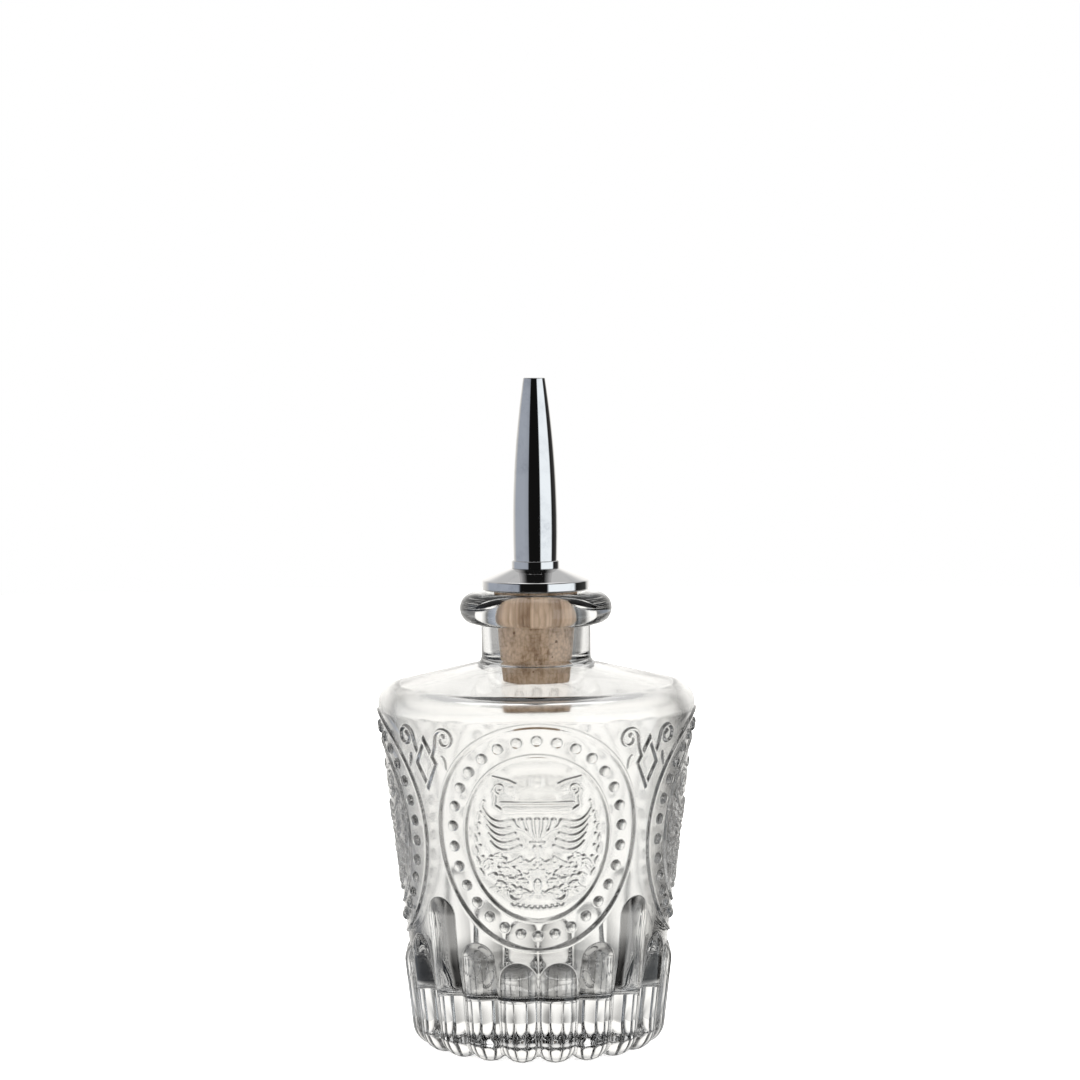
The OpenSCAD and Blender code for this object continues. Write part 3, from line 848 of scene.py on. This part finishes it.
@dataclass
class Medallion:
    """The oval medallion on each side, with its rings, beads and lidded urn."""

    outer: Pair = (41.9, 24.2)
    outer_width: float = 1.35
    inner: Pair = (29.6, 17.9)
    inner_width: float = 1.15
    beads: Pair = (34.4, 20.5)
    bead_count: int = 30
    bead_radius: float = 1.12
    bead_height: float = 0.8
    ring_height: float = 0.42
    urn_height: float = 0.52
    sprigs: int = 44
    seed: int = 11
    middle_radius: float = 30.3

    def oval(self, relief: Relief, half: Pair) -> np.ndarray:
        """Distance inside an oval, negative outside it.

        Args:
            relief: The patch.
            half: Half of the oval's angle in degrees, and of its height.

        Returns:
            Distance in millimetres.
        """
        a, b = math.radians(half[0]) * self.middle_radius, half[1]
        reach = np.hypot(relief.x / a, relief.y / b)
        slope = np.hypot(relief.x / a ** 2, relief.y / b ** 2) / np.maximum(reach, 1e-6)
        return (1 - reach) / np.maximum(slope, 1e-6)

    def ring(self, relief: Relief, half: Pair, width: float) -> None:
        """A flat-topped ring just inside an oval, steep outside and softer inside."""
        inside = self.oval(relief, half)
        relief.add(self.ring_height * smooth(0, 0.24, inside) * smooth(0, 0.8, width - inside))

    def draw(self, relief: Relief) -> None:
        """Draws the whole medallion about the patch's middle.

        Args:
            relief: The patch.
        """
        self.ring(relief, self.outer, self.outer_width)
        self.ring(relief, self.inner, self.inner_width)
        for i in range(self.bead_count):
            t = TURN * i / self.bead_count
            half = math.radians(self.beads[0]) * self.middle_radius
            centre = (half * math.sin(t), self.beads[1] * math.cos(t))
            distance = np.hypot(relief.x - centre[0], relief.y - centre[1])
            relief.add(self.bead_height * np.sqrt(mound(distance, self.bead_radius)))
        self.draw_urn(relief)
        for side in (-1, 1):
            self.draw_side(relief, side)

    def draw_urn(self, relief: Relief) -> None:
        """Draws the urn on the centre line, from its knob down to the scalloped edge under it.

        Args:
            relief: The patch.
        """
        h = self.urn_height
        relief.dome((0, 11.9), 1.5, h)
        lid = np.clip(1 - (relief.x / 4.6) ** 2 - (np.maximum(relief.y - 8.1, 0) / 3.0) ** 2, 0, 1)
        relief.add(np.where(relief.y > 8.1, h * 0.8 * lid ** 0.5, 0))
        relief.bar((-7.2, 7.6), (7.2, 7.6), 0.75, h * 0.9)
        relief.bar((-6.4, 6.1), (6.4, 6.1), 1.7, h * 0.75)
        for i in range(-3, 4):
            drop = [(1.65 * i, 3.9 - 0.03 * i * i), (1.35 * i, 1.9 + 0.07 * i * i),
                    (0.55 * i, -0.2 + 0.2 * i * i)]
            relief.stroke(np.array(drop), 1.6, h * 1.1, 0.6)
        relief.bar((-1.3, -0.7), (1.3, -0.7), 0.8, h)
        relief.dome((0, -2.0), 1.1, h * 1.1)
        relief.bar((0, -1.2), (0, -4.2), 1.1, h * 0.8)
        relief.flower((0, -6.2), 1.8, 6, h * 1.1, 90)
        relief.leaf((0, -8.2), -90, 3.4, 1.9, h)
        scallops = 9
        for i in range(scallops):
            across = (i - (scallops - 1) / 2) * 1.25
            centre = (across, -14.0 + 0.02 * across ** 2)
            relief.stroke(spiral(centre, (0.7, 0.7), (195, 345), 6), 0.5, h * 0.8)

    def draw_side(self, relief: Relief, side: int) -> None:
        """What stands to one side of the urn: handle, plumes, foliage, scroll and the vine by the ring.

        Args:
            relief: The patch.
            side: 1 for the right and -1 for the left.
        """
        h = self.urn_height
        patch = Relief(relief.x * side, relief.y)
        patch.stroke(np.array([(4.2, 11.6), (5.6, 12.3), (7.2, 12.7), (8.7, 13.1)]), 0.6, h, 0.4)
        patch.stroke(spiral((7.3, 10.5), (1.2, 0.4), (-70, 300), 18), 0.6, h * 0.9)
        patch.dome((5.1, 10.2), 1.0, h * 0.8)
        patch.stroke(np.array([(8.6, 10.2), (8.3, 8.6), (8.6, 7.0), (7.0, 5.9)]), 0.85, h * 0.9)
        for i in range(5):
            start, end = np.array([10.9 - 0.3 * i, 6.2 - 1.7 * i]), np.array([5.7 - 0.55 * i, 3.6 - 1.3 * i])
            bend = np.array([9.3 - 0.45 * i, 2.6 - 1.6 * i])
            t = np.linspace(0, 1, 12)[:, None]
            patch.stroke(end * (1 - t) ** 2 + 2 * bend * t * (1 - t) + start * t ** 2, 1.3, h * 0.85, 0.65)
        rng = np.random.default_rng(self.seed)
        for _ in range(self.sprigs):
            y = rng.uniform(-11.6, -3.2)
            x = rng.uniform(0.9, 11.2 * math.sqrt(1 - (y / 15.5) ** 2))
            angle, length, width = rng.uniform(-180, 180), rng.uniform(1.5, 2.4), rng.uniform(0.8, 1.2)
            patch.leaf((x, y), angle, length, width, h * 0.9, 0.15)
            patch.dome((x + rng.uniform(-0.9, 0.9), y + rng.uniform(-0.9, 0.9)), rng.uniform(0.35, 0.6), h)
        patch.flower((3.5, -5.0), 1.6, 5, h * 1.1, 18)
        patch.flower((6.6, -6.0), 1.5, 5, h * 1.1, 54)
        patch.bar((2.3, -8.6), (6.1, -8.3), 0.9, h)
        patch.stroke(spiral((4.7, -11.3), (1.8, 1.4), (185, 365), 12), 0.95, h)
        patch.dome((4.7, -11.0), 0.7, h)
        for i in range(7):
            y = 7.2 - 2.35 * i
            x = 12.9 * math.sqrt(1 - (y / 15.6) ** 2)
            patch.leaf((x, y - 1.2), 90 + 2.6 * y, 2.0, 0.85, h * 0.8, -0.1)
            patch.dome((x - 0.75, y + 0.6), 0.4, h * 0.7)
        relief.add(patch.height)


@dataclass
class CornerOrnament:
    """The lozenge between two medallions with a scroll to each side above it."""

    half: Pair = (3.3, 5.9)
    frame_width: float = 1.05
    height: float = 0.5
    scroll_centre: Pair = (5.6, 5.2)
    scroll_radius: float = 2.45
    scroll_width: float = 0.85
    scroll_height: float = 0.5

    def draw(self, relief: Relief) -> None:
        """Draws the lozenge about the patch's middle, and its scrolls.

        Args:
            relief: The patch.
        """
        a, b = self.half
        inside = (1 - np.abs(relief.x) / a - np.abs(relief.y) / b) / math.hypot(1 / a, 1 / b)
        rim = mound(inside - self.frame_width / 2, self.frame_width / 2)
        relief.add(self.height * rim ** 0.7)
        relief.add(0.22 * self.height * smooth(0.3, 2.2, inside))
        cx, cy = self.scroll_centre
        for side in (-1, 1):
            patch = Relief(relief.x * side, relief.y)
            curl = spiral((cx, cy), (self.scroll_radius, 0.75), (180, -250), 30)
            patch.stroke(curl, self.scroll_width, self.scroll_height, 0.35)
            patch.dome(tuple(curl[-1]), 0.6, self.scroll_height)
            root = [(a * 0.62, 1.6), (cx - self.scroll_radius - 0.35, 3.4), (cx - self.scroll_radius, cy)]
            patch.stroke(np.array(root), self.scroll_width, self.scroll_height)
            patch.leaf((cx - 1.1, 1.9), -66, 3.4, 1.3, self.scroll_height * 0.7, -0.12)
            relief.add(patch.height)


@dataclass
class GlassBottle:
    """The pressed bottle: toed base, body with medallions, shoulder, neck, lip and its inside."""

    foot_radius: float = 24.65
    foot_flare: float = 0.1185
    body_curve: Triple = (25.34, 0.0984, 0.00024)
    waist: Pair = (14.0, 24.0)
    shoulder_top: float = 81.8
    shoulder_slope: float = 0.236
    shoulder_corner: float = 4.3
    neck_radius: float = 11.7
    neck_fillet: float = 1.6
    lip_height: float = 93.2
    lip_radius: float = 3.4
    lip_reach: float = 1.15
    mouth_radius: float = 1.8
    mouth_flat: float = 0.3
    bore_corner: float = 1.5
    wall: float = 3.0
    shoulder_wall: float = 2.7
    floor_height: float = 13.5
    floor_corner: float = 2.5
    floor_sag: float = 2.3
    bore_top_radius: float = 9.03
    bore_taper: float = 5.0
    cork_top: float = 97.0
    cork_foot: float = 75.5
    toe_count: int = 20
    toe_crest: float = 26.55
    toe_radii: Pair = (4.5, 4.95)
    toe_step: float = 0.1
    toe_reach: float = 4.6
    heel: Pair = (22.15, 4.3)
    arch_heights: Triple = (21.7, 25.6, 34.6)
    heel_start: float = -112.0
    ring: Pair = (12.5, 17.0)
    ring_edge: Pair = (0.4, 0.35)
    recess: float = 1.2
    medallion_height: float = 48.1
    lozenge_height: float = 63.0
    ornament_band: Pair = (20.0, 75.0)
    box_margin: float = 0.02
    waves: tuple[Triple, ...] = ((0.06, 3, 0.21), (0.04, 5, -0.37))
    calm_below: Pair = (2.0, 9.0)
    calm_above: Pair = (78.0, 70.0)
    medallion: Medallion = field(default_factory=Medallion)
    corner: CornerOrnament = field(default_factory=CornerOrnament)
    finish: GlassFinish = field(default_factory=GlassFinish)

    @property
    def columns(self) -> int:
        """Number of points round the bottle, a multiple of both the toes and the four sides."""
        return 960

    @property
    def step(self) -> float:
        """Distance between rows where there is relief."""
        return 0.2

    def side(self, z: np.ndarray | float) -> np.ndarray | float:
        """Radius of the plain side, straight at the foot and flaring above it.

        Args:
            z: The heights.

        Returns:
            A radius for each height.
        """
        cone = self.foot_radius + self.foot_flare * z
        c0, c1, c2 = self.body_curve
        curve = c0 + c1 * z + c2 * z * z
        blend = smooth(*self.waist, z)
        return cone + (curve - cone) * blend

    def shoulder(self, r: float) -> float:
        """Height of the plain shoulder at a radius."""
        return self.shoulder_top - self.shoulder_slope * (r - self.neck_radius)

    def meeting(self, inset: float, drop: float) -> Pair:
        """Where the side, moved in, meets the shoulder, moved down.

        Args:
            inset: How far the side is moved towards the axis.
            drop: How far the shoulder is moved down.

        Returns:
            Radius and height of the corner.
        """
        z = self.shoulder_top - 5
        for _ in range(MEETING_ROUNDS):
            z = self.shoulder(self.side(z) - inset) - drop
        return self.side(z) - inset, z

    def outside(self) -> np.ndarray:
        """The plain outer profile, from the middle of the base up to the top of the lip.

        Returns:
            Radius and height of each point.
        """
        fine, coarse = self.step, self.step * 2
        heel_r, heel_z = self.heel
        core = self.side(heel_z) - heel_r
        line = Outline().to(0, self.recess, coarse).to(self.ring[0] - self.recess, self.recess, coarse)
        line.to(self.ring[0], 0, fine).to(self.ring[1], 0, fine)
        line.to(self.ring[1] + self.ring_edge[0], self.ring_edge[1], fine)
        line.arc((heel_r, heel_z), core, self.heel_start, 0, fine / 2)
        corner = self.meeting(0, 0)
        for z in np.arange(heel_z + fine, corner[1] - self.shoulder_corner, fine):
            line.to(self.side(z), z, fine)
        neck_foot = (self.neck_radius, self.shoulder_top)
        line.corner(corner, neck_foot, self.shoulder_corner, fine)
        line.corner(neck_foot, (self.neck_radius, self.lip_height), self.neck_fillet, fine)
        lip_r = self.neck_radius + self.lip_reach
        start = math.degrees(math.acos(self.lip_reach / self.lip_radius)) - 180
        line.arc((lip_r, self.lip_height), self.lip_radius, start, 90, coarse)
        return line.array()

    def inside(self) -> np.ndarray:
        """The inner profile, from the flat of the lip down the bore to the middle of the floor.

        Returns:
            Radius and height of each point.
        """
        coarse = self.step * 2.5
        top = self.lip_height + self.lip_radius
        slope = math.tan(math.radians(self.bore_taper))

        def bore(z: float) -> float:
            """Radius of the tapered bore at a height."""
            return self.bore_top_radius - (self.cork_top - z) * slope

        mouth_z = top - self.mouth_radius
        mouth_r = bore(mouth_z) + self.mouth_radius
        drop = self.shoulder_wall * math.hypot(1, self.shoulder_slope)
        foot_z = self.shoulder(bore(self.cork_foot)) - drop
        foot = (bore(foot_z), foot_z)
        line = Outline().to(mouth_r + self.mouth_flat, top, coarse)
        line.arc((mouth_r, mouth_z), self.mouth_radius, 90, 180, coarse)
        corner = self.meeting(self.wall, drop)
        line.corner(foot, corner, self.bore_corner, coarse)
        rounding = self.shoulder_corner - self.shoulder_wall / 2
        line.corner(corner, (self.side(60) - self.wall, 60), rounding, coarse)
        low = self.floor_height + self.floor_corner
        for z in np.arange(line.points[-1][1] - coarse, low, -coarse):
            line.to(self.side(z) - self.wall, z, coarse)
        floor_r = self.side(self.floor_height) - self.wall
        line.corner((floor_r, self.floor_height), (0, self.floor_height - 2 * self.floor_sag),
                    self.floor_corner, coarse)
        for r in np.arange(line.points[-1][0] - coarse, 0, -coarse):
            line.to(r, self.floor_height - self.floor_sag * (1 - (r / floor_r) ** 2), coarse)
        line.to(0, self.floor_height - self.floor_sag, coarse)
        return line.array()

    def arch_top(self, toe: np.ndarray) -> np.ndarray:
        """Height of each toe's arch, tallest between two medallions.

        Args:
            toe: Number of each toe, from the front.

        Returns:
            A height for each toe.
        """
        step = 360 / self.toe_count
        from_corner = np.abs((toe + 0.5) * step % 90 - 45)
        low, middle, high = self.arch_heights
        return np.where(from_corner < step / 2, high, np.where(from_corner < step * 1.5, middle, low))

    def in_toe(self, across: np.ndarray, out: np.ndarray, z: np.ndarray, top: np.ndarray) -> np.ndarray:
        """Whether points lie inside a toe, a leaning round column with a ball for its foot and a domed top.

        Args:
            across: Distance of each point to the side of the toe's middle.
            out: Distance of each point from the bottle's axis, towards the toe.
            z: Height of each point.
            top: Height of the toe's arch over each point.

        Returns:
            True for each point inside.
        """
        low, high = self.toe_radii
        radius = low + (high - low) * z / self.arch_heights[2]
        centre = self.toe_crest + self.foot_flare * z - radius
        relief = self.toe_crest + self.foot_flare * top - self.side(top)
        cap = top - np.sqrt(np.maximum(high ** 2 - (high - relief) ** 2, 0))
        foot = np.maximum(self.heel[1] - z, 0) / self.heel[1]
        dome = np.maximum(z - cap, 0) / high
        return (np.hypot(across, out - centre) / radius) ** 2 + foot ** 2 + dome ** 2 < 1

    def toes(self, rows: np.ndarray, angle: np.ndarray) -> np.ndarray:
        """Height of the toes over the plain profile, found by stepping out of it until each toe ends.

        Args:
            rows: The plain outer profile.
            angle: Angle of each column from the front.

        Returns:
            Heights, one row for each point of the profile.
        """
        step = TURN / self.toe_count
        number = np.floor(angle / step)
        turn = angle - (number + 0.5) * step
        top = self.arch_top(number)
        band = (rows[:, 0] > self.ring[1] + 0.2) & (rows[:, 1] < self.arch_heights[2] + 1)
        r, z = rows[band, :1], rows[band, 1:]
        way = facing(rows)[band]

        def inside(height: np.ndarray) -> np.ndarray:
            """Whether points over the profile lie in a toe.

            Args:
                height: How far over it they are.

            Returns:
                True for each point inside.
            """
            reach = r + way[:, :1] * height
            level = z + way[:, 1:] * height
            return self.in_toe(reach * np.sin(turn), reach * np.cos(turn), level, top)

        low = np.zeros((len(r), len(turn)))
        for height in np.arange(self.toe_step, self.toe_reach, self.toe_step):
            low = np.where(inside(height), height, low)
        high = low + self.toe_step
        for _ in range(HALVINGS):
            middle = (low + high) / 2
            within = inside(middle)
            low, high = np.where(within, middle, low), np.where(within, high, middle)
        heights = np.zeros((len(rows), len(turn)))
        heights[band] = np.where(low > 1e-3, low, 0)
        return heights

    def ornament(self, rows: np.ndarray) -> np.ndarray:
        """Height of the medallions, lozenges and scrolls over the plain profile, all the way round.

        Args:
            rows: The plain outer profile.

        Returns:
            Heights, one row for each point of the profile.
        """
        quarter = self.columns // 4
        angle = (np.arange(quarter) - quarter // 2) * TURN / self.columns
        band = (rows[:, 1] > self.ornament_band[0]) & (rows[:, 1] < self.ornament_band[1])
        z = rows[band, 1:]
        front = Relief(angle * self.medallion.middle_radius + 0 * z, z - self.medallion_height + 0 * angle)
        self.medallion.draw(front)
        radius = self.side(self.lozenge_height)
        for side in (-1, 1):
            turn = angle - side * math.pi / 4
            patch = Relief(turn * radius + 0 * z, z - self.lozenge_height + 0 * angle)
            self.corner.draw(patch)
            front.add(patch.height)
        heights = np.zeros((len(rows), self.columns))
        full = np.tile(front.height, (1, 4))
        heights[band] = np.roll(full, -(quarter // 2), axis=1)
        return heights

    def build(self) -> bpy.types.Object:
        """The bottle's mesh, outside and inside as one closed skin.

        Returns:
            The new object.
        """
        turn = once_round(self.columns)
        outer = self.outside()
        height = np.maximum(self.toes(outer, turn), self.ornament(outer))
        way = facing(outer)
        out_r = outer[:, :1] + way[:, :1] * height
        out_z = np.maximum(outer[:, 1:] + way[:, 1:] * height, 0)
        out_r = np.minimum(out_r, min(CAD_BOX[1].x, CAD_BOX[1].y) / MM - self.box_margin)
        out_r[0] = 0
        inner = self.inside()
        level = inner[:, 1:]
        wobble = sum(size * np.sin(lobes * turn + level * twist) for size, lobes, twist in self.waves)
        low, high = (self.floor_height + part for part in self.calm_below)
        calm = smooth(low, high, level) * smooth(*self.calm_above, level)
        in_r = np.maximum(inner[:, :1] + wobble * calm, 0)
        in_z = level + 0 * turn
        r, z = np.concatenate([out_r, in_r]), np.concatenate([out_z, in_z])
        points = np.stack([r * np.sin(turn), -r * np.cos(turn), z], axis=-1)
        return skin("pressed_bottle", points, Ends.POLES)

    def dress(self, piece: bpy.types.Object) -> None:
        """Gives the bottle its glass and its place in the part.

        Args:
            piece: What build gave.
        """
        piece.data.materials.append(self.finish.material())
        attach(piece, Body.BOTTLE.value)
        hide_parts("glass_bottle")


@dataclass
class CorkStopper:
    """The tapered cork with the hole that its stem runs in."""

    top: float = 97.0
    length: float = 21.5
    top_radius: float = 8.95
    taper: float = 5.0
    bore: float = 2.63
    edge: float = 0.45
    pit_count: int = 90
    pit_width: Pair = (0.25, 0.8)
    pit_height: Pair = (0.15, 0.5)
    pit_depth: Pair = (0.04, 0.12)
    pit_limit: float = 0.16
    seed: int = 7
    columns: int = 360
    finish: CorkFinish = field(default_factory=CorkFinish)

    def build(self) -> bpy.types.Object:
        """The cork's mesh, with its pits.

        Returns:
            The new object.
        """
        slope = math.tan(math.radians(self.taper))
        foot, foot_r = self.top - self.length, self.top_radius - self.length * slope
        step, start = 0.25, 1
        line = Outline().to(self.bore, foot + start, step).to(self.bore, foot, step)
        line.corner((foot_r, foot), (self.top_radius, self.top), self.edge, step)
        line.corner((self.top_radius, self.top), (self.bore, self.top), self.edge, step)
        line.to(self.bore, self.top, step).to(self.bore, foot + start + step, step)
        rows = line.array()
        turn = once_round(self.columns)
        rng = np.random.default_rng(self.seed)
        pits = np.zeros((len(rows), self.columns))
        for _ in range(self.pit_count):
            z0, a0 = rng.uniform(foot, self.top), rng.uniform(0, TURN)
            wide, tall = rng.uniform(*self.pit_width), rng.uniform(*self.pit_height)
            deep = rng.uniform(*self.pit_depth)
            away = np.abs((turn - a0 + math.pi) % TURN - math.pi) * self.top_radius
            pits += deep * np.exp(-(away / wide) ** 2 - ((rows[:, 1:] - z0) / tall) ** 2)
        outside = rows[:, :1] > self.bore + 0.1
        pits = np.minimum(pits, self.pit_limit) * outside
        return turned("cork", rows, self.columns, Ends.JOINED, pits)

    def dress(self, piece: bpy.types.Object) -> None:
        """Gives the cork its finish and its place in the part.

        Args:
            piece: What build gave.
        """
        piece.data.materials.append(self.finish.material())
        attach(piece, Body.STOPPER.value)
        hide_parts("cork_stopper")


@dataclass
class DasherTop:
    """The metal of the stopper: stem, cap plate, collar and spout."""

    seat: float = 97.0
    cork_length: float = 21.5
    plate_radius: float = 11.4
    plate_rim: float = 2.1
    rim_round: float = 0.42
    plate_slope: float = 22.0
    spigot: float = 3.0
    collar_wall: float = 0.33
    collar_height: float = 1.6
    length: float = 40.49
    radius: float = 4.77
    tip_radius: float = 2.33
    belly: float = 8.5
    wall: float = 0.7
    hole_radius: float = 1.0
    hole_length: float = 4.0
    stem_radius: float = 2.6
    stem_wall: float = 0.6
    gap: float = 0.03
    columns: int = 256
    stem_columns: int = 128
    finish: SteelFinish = field(default_factory=SteelFinish)

    @property
    def foot(self) -> float:
        """The cap plate's flat, where collar and spout stand.

        Returns:
            Its height.
        """
        top_radius = self.radius + self.collar_wall
        rise = (self.plate_radius - top_radius) * math.tan(math.radians(self.plate_slope))
        return self.seat + self.plate_rim + rise

    def spout_radius(self, h: float) -> float:
        """Outer radius of the spout at a height above its foot."""
        share = (h - self.belly) / (self.length - self.belly)
        return self.radius - (self.radius - self.tip_radius) * share ** 2

    def build_plate(self) -> bpy.types.Object:
        """The turned cap plate with the spigot that the spout sits on.

        Returns:
            The new object.
        """
        step, start, round_off, hole = 0.12, 0.5, 0.15, self.stem_radius + self.gap
        flat_r, spigot_r = self.radius + self.collar_wall, self.radius - self.wall - self.gap
        rim = (self.plate_radius, self.seat + self.plate_rim)
        line = Outline().to(hole, self.seat + start, step).to(hole, self.seat, step)
        line.corner((self.plate_radius, self.seat), rim, self.rim_round, step)
        line.corner(rim, (flat_r, self.foot), self.rim_round, step)
        line.to(flat_r, self.foot, step).to(spigot_r, self.foot, step)
        line.corner((spigot_r, self.foot + self.spigot), (hole, self.foot + self.spigot), round_off, step)
        line.to(hole, self.foot + self.spigot, step).to(hole, self.seat + start + step, step)
        return turned("cap_plate_top", line.array(), self.columns, Ends.JOINED)

    def build_collar(self) -> bpy.types.Object:
        """The thin collar round the spout's foot.

        Returns:
            The new object.
        """
        step, fine, start, edge = 0.1, 0.04, 0.3, 0.12
        inner, outer = self.radius + self.gap, self.radius + self.collar_wall
        low, high = self.foot, self.foot + self.collar_height
        line = Outline().to(inner, low + start, step).to(inner, low, step)
        line.corner((outer, low), (outer, high), edge, fine).corner((outer, high), (inner, high), edge, fine)
        line.to(inner, high, step).to(inner, low + start + step, step)
        return turned("spout_collar", line.array(), self.columns, Ends.JOINED)

    def build_spout(self) -> bpy.types.Object:
        """The tapering spout with its wide bore and narrow drip hole.

        Returns:
            The new object.
        """
        step, fine, foot_fine, start = 0.25, 0.05, 0.04, 1
        foot_edge, edge = 0.08, 0.2
        inner, foot_r = self.radius - self.wall, self.spout_radius(0)
        low, high = self.foot, self.foot + self.length
        line = Outline().to(inner, low + start, step).to(inner, low, step)
        line.corner((foot_r, low), (foot_r, low + start), foot_edge, foot_fine)
        for h in np.arange(step, self.length - edge, step):
            line.to(self.spout_radius(h), low + h, step)
        line.corner((self.tip_radius, high), (self.hole_radius, high), edge, fine)
        line.corner((self.hole_radius, high), (self.hole_radius, high - 1), edge, fine)
        line.to(self.hole_radius, high - self.hole_length, step)
        line.to(inner, low + self.spigot + self.belly, step).to(inner, low + start + step, step)
        return turned("dasher_spout", line.array(), self.columns, Ends.JOINED)

    def build_stem(self) -> bpy.types.Object:
        """The tube that runs through the cork and up into the spout.

        Returns:
            The new object.
        """
        step, fine, start, edge = 0.4, 0.05, 1, 0.12
        inner, outer = self.stem_radius - self.stem_wall, self.stem_radius
        low, high = self.seat - self.cork_length, self.foot + self.spigot
        corners = [(inner, low), (outer, low), (outer, high), (inner, high)]
        line = Outline().to(inner, low + start, step)
        for corner, after in zip(corners, corners[1:] + corners[:1]):
            line.corner(corner, after, edge, fine)
        line.to(inner, low + start + step, step)
        return turned("stem_pipe", line.array(), self.stem_columns, Ends.JOINED)

    def dress(self, pieces: dict[str, bpy.types.Object]) -> None:
        """Gives the metal its finish and its place in the part.

        Args:
            pieces: Each piece by the name of the node that it stands for.
        """
        steel = self.finish.material()
        for node, piece in pieces.items():
            piece.data.materials.append(steel)
            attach(piece, Body.STOPPER.value)
            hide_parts(node)


@dataclass
class Studio:
    """Camera, paper floor, surroundings and soft lamps."""

    distance: float = 700.0
    height: float = 150.0
    aim_height: float = 107.6
    aim_across: float = 1.0
    view_degrees: float = 18.62
    roll_degrees: float = -0.42
    view_depth: Pair = (0.01, 20)
    floor_radius: float = 1300.0
    floor_thickness: float = 1.0
    floor_step: float = 50.0
    floor_columns: int = 96
    lamp_place: Triple = (0, 200, 1100)
    lamp_size: float = 900
    lamp_power: float = 2.5
    matt_light: Colour = (1.62, 1.62, 1.6)
    surroundings: Surroundings = field(default_factory=Surroundings)
    finish: FloorFinish = field(default_factory=FloorFinish)

    def add_camera(self) -> None:
        """The camera at the photograph's angle."""
        data = bpy.data.cameras.new("camera")
        camera = add_object("camera", data)
        place = Vector((self.aim_across, -self.distance, self.height)) * MM
        aim = Vector((self.aim_across, 0, self.aim_height)) * MM
        camera.matrix_world = aimed(place, aim) @ Matrix.Rotation(math.radians(self.roll_degrees), 4, "Z")
        data.sensor_fit = "HORIZONTAL"
        data.angle = math.radians(self.view_degrees)
        data.clip_start, data.clip_end = self.view_depth
        bpy.context.scene.camera = camera

    def add_floor(self) -> None:
        """A round sheet of white paper with a thickness below the standing plane."""
        line = Outline()
        for r, z in ((0, -self.floor_thickness), (self.floor_radius, -self.floor_thickness),
                     (self.floor_radius, 0), (0, 0)):
            line.to(r, z, self.floor_step)
        floor = turned("paper_floor", line.array(), self.floor_columns, Ends.POLES)
        floor.data.polygons.foreach_set("use_smooth", np.zeros(len(floor.data.polygons), bool))
        floor.data.materials.append(self.finish.material())

    def add_world(self) -> None:
        """The surroundings, white to the camera and even for matt surfaces."""
        scene = bpy.context.scene
        scene.world = scene.world or bpy.data.worlds.new("studio")
        scene.world.use_nodes = True
        scene.world.node_tree.nodes.clear()
        nodes = Nodes(scene.world.node_tree)
        way = nodes.add("SeparateXYZ", {"Vector": nodes.add("TexCoord").outputs["Generated"]})
        ring = self.surroundings.view(nodes, self.surroundings.wall, way.outputs["X"], way.outputs["Y"])
        top = nodes.span(way.outputs["Y"], self.surroundings.top_edge, self.surroundings.top, "LINEAR")
        sky = nodes.mix(nodes.span(way.outputs["Z"], self.surroundings.wall_top), ring, top)
        light = nodes.add("LightPath")
        matt = nodes.math("GREATER_THAN", light.outputs["Diffuse Depth"], 0.5)
        even = nodes.mix(matt, sky, self.matt_light)
        seen = nodes.add("Background", {"Color": (1, 1, 1, 1), "Strength": 1.0})
        lit = nodes.add("Background", {"Color": even, "Strength": 1.0})
        both = nodes.add("MixShader", {0: light.outputs["Is Camera Ray"], 1: lit.outputs[0],
                                       2: seen.outputs[0]})
        nodes.add("OutputWorld", {"Surface": both.outputs[0]})

    def add_lamp(self, name: str, place: Triple, size: float, power: float) -> None:
        """A square soft lamp that faces the bottle.

        Args:
            name: Name of the lamp.
            place: Its centre in millimetres.
            size: Its side in millimetres.
            power: Its power in watts.
        """
        data = bpy.data.lights.new(name, "AREA")
        data.energy, data.size = power, size * MM
        add_object(name, data).matrix_world = aimed(Vector(place) * MM, Vector(LAMP_AIM) * MM)

    def build(self) -> None:
        """Sets the whole studio up."""
        self.add_camera()
        self.add_floor()
        self.add_world()
        self.add_lamp("over_lamp", self.lamp_place, self.lamp_size, self.lamp_power)
        bpy.context.scene.view_settings.view_transform = "Standard"


def main() -> None:
    """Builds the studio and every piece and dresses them."""
    logging.basicConfig(level=logging.INFO, format="%(message)s")
    Studio().build()
    bottle = GlassBottle()
    glass = bottle.build()
    bottle.dress(glass)
    cork = CorkStopper()
    stopper = cork.build()
    cork.dress(stopper)
    dasher = DasherTop()
    metal = {
        "cap_plate": dasher.build_plate(),
        "foot_collar": dasher.build_collar(),
        "spout_tube": dasher.build_spout(),
        "stem_tube": dasher.build_stem(),
    }
    dasher.dress(metal)
    for piece in (glass, stopper, *metal.values()):
        log.info("%s: %d faces", piece.name, len(piece.data.polygons))


if __name__ == "__main__":
    main()
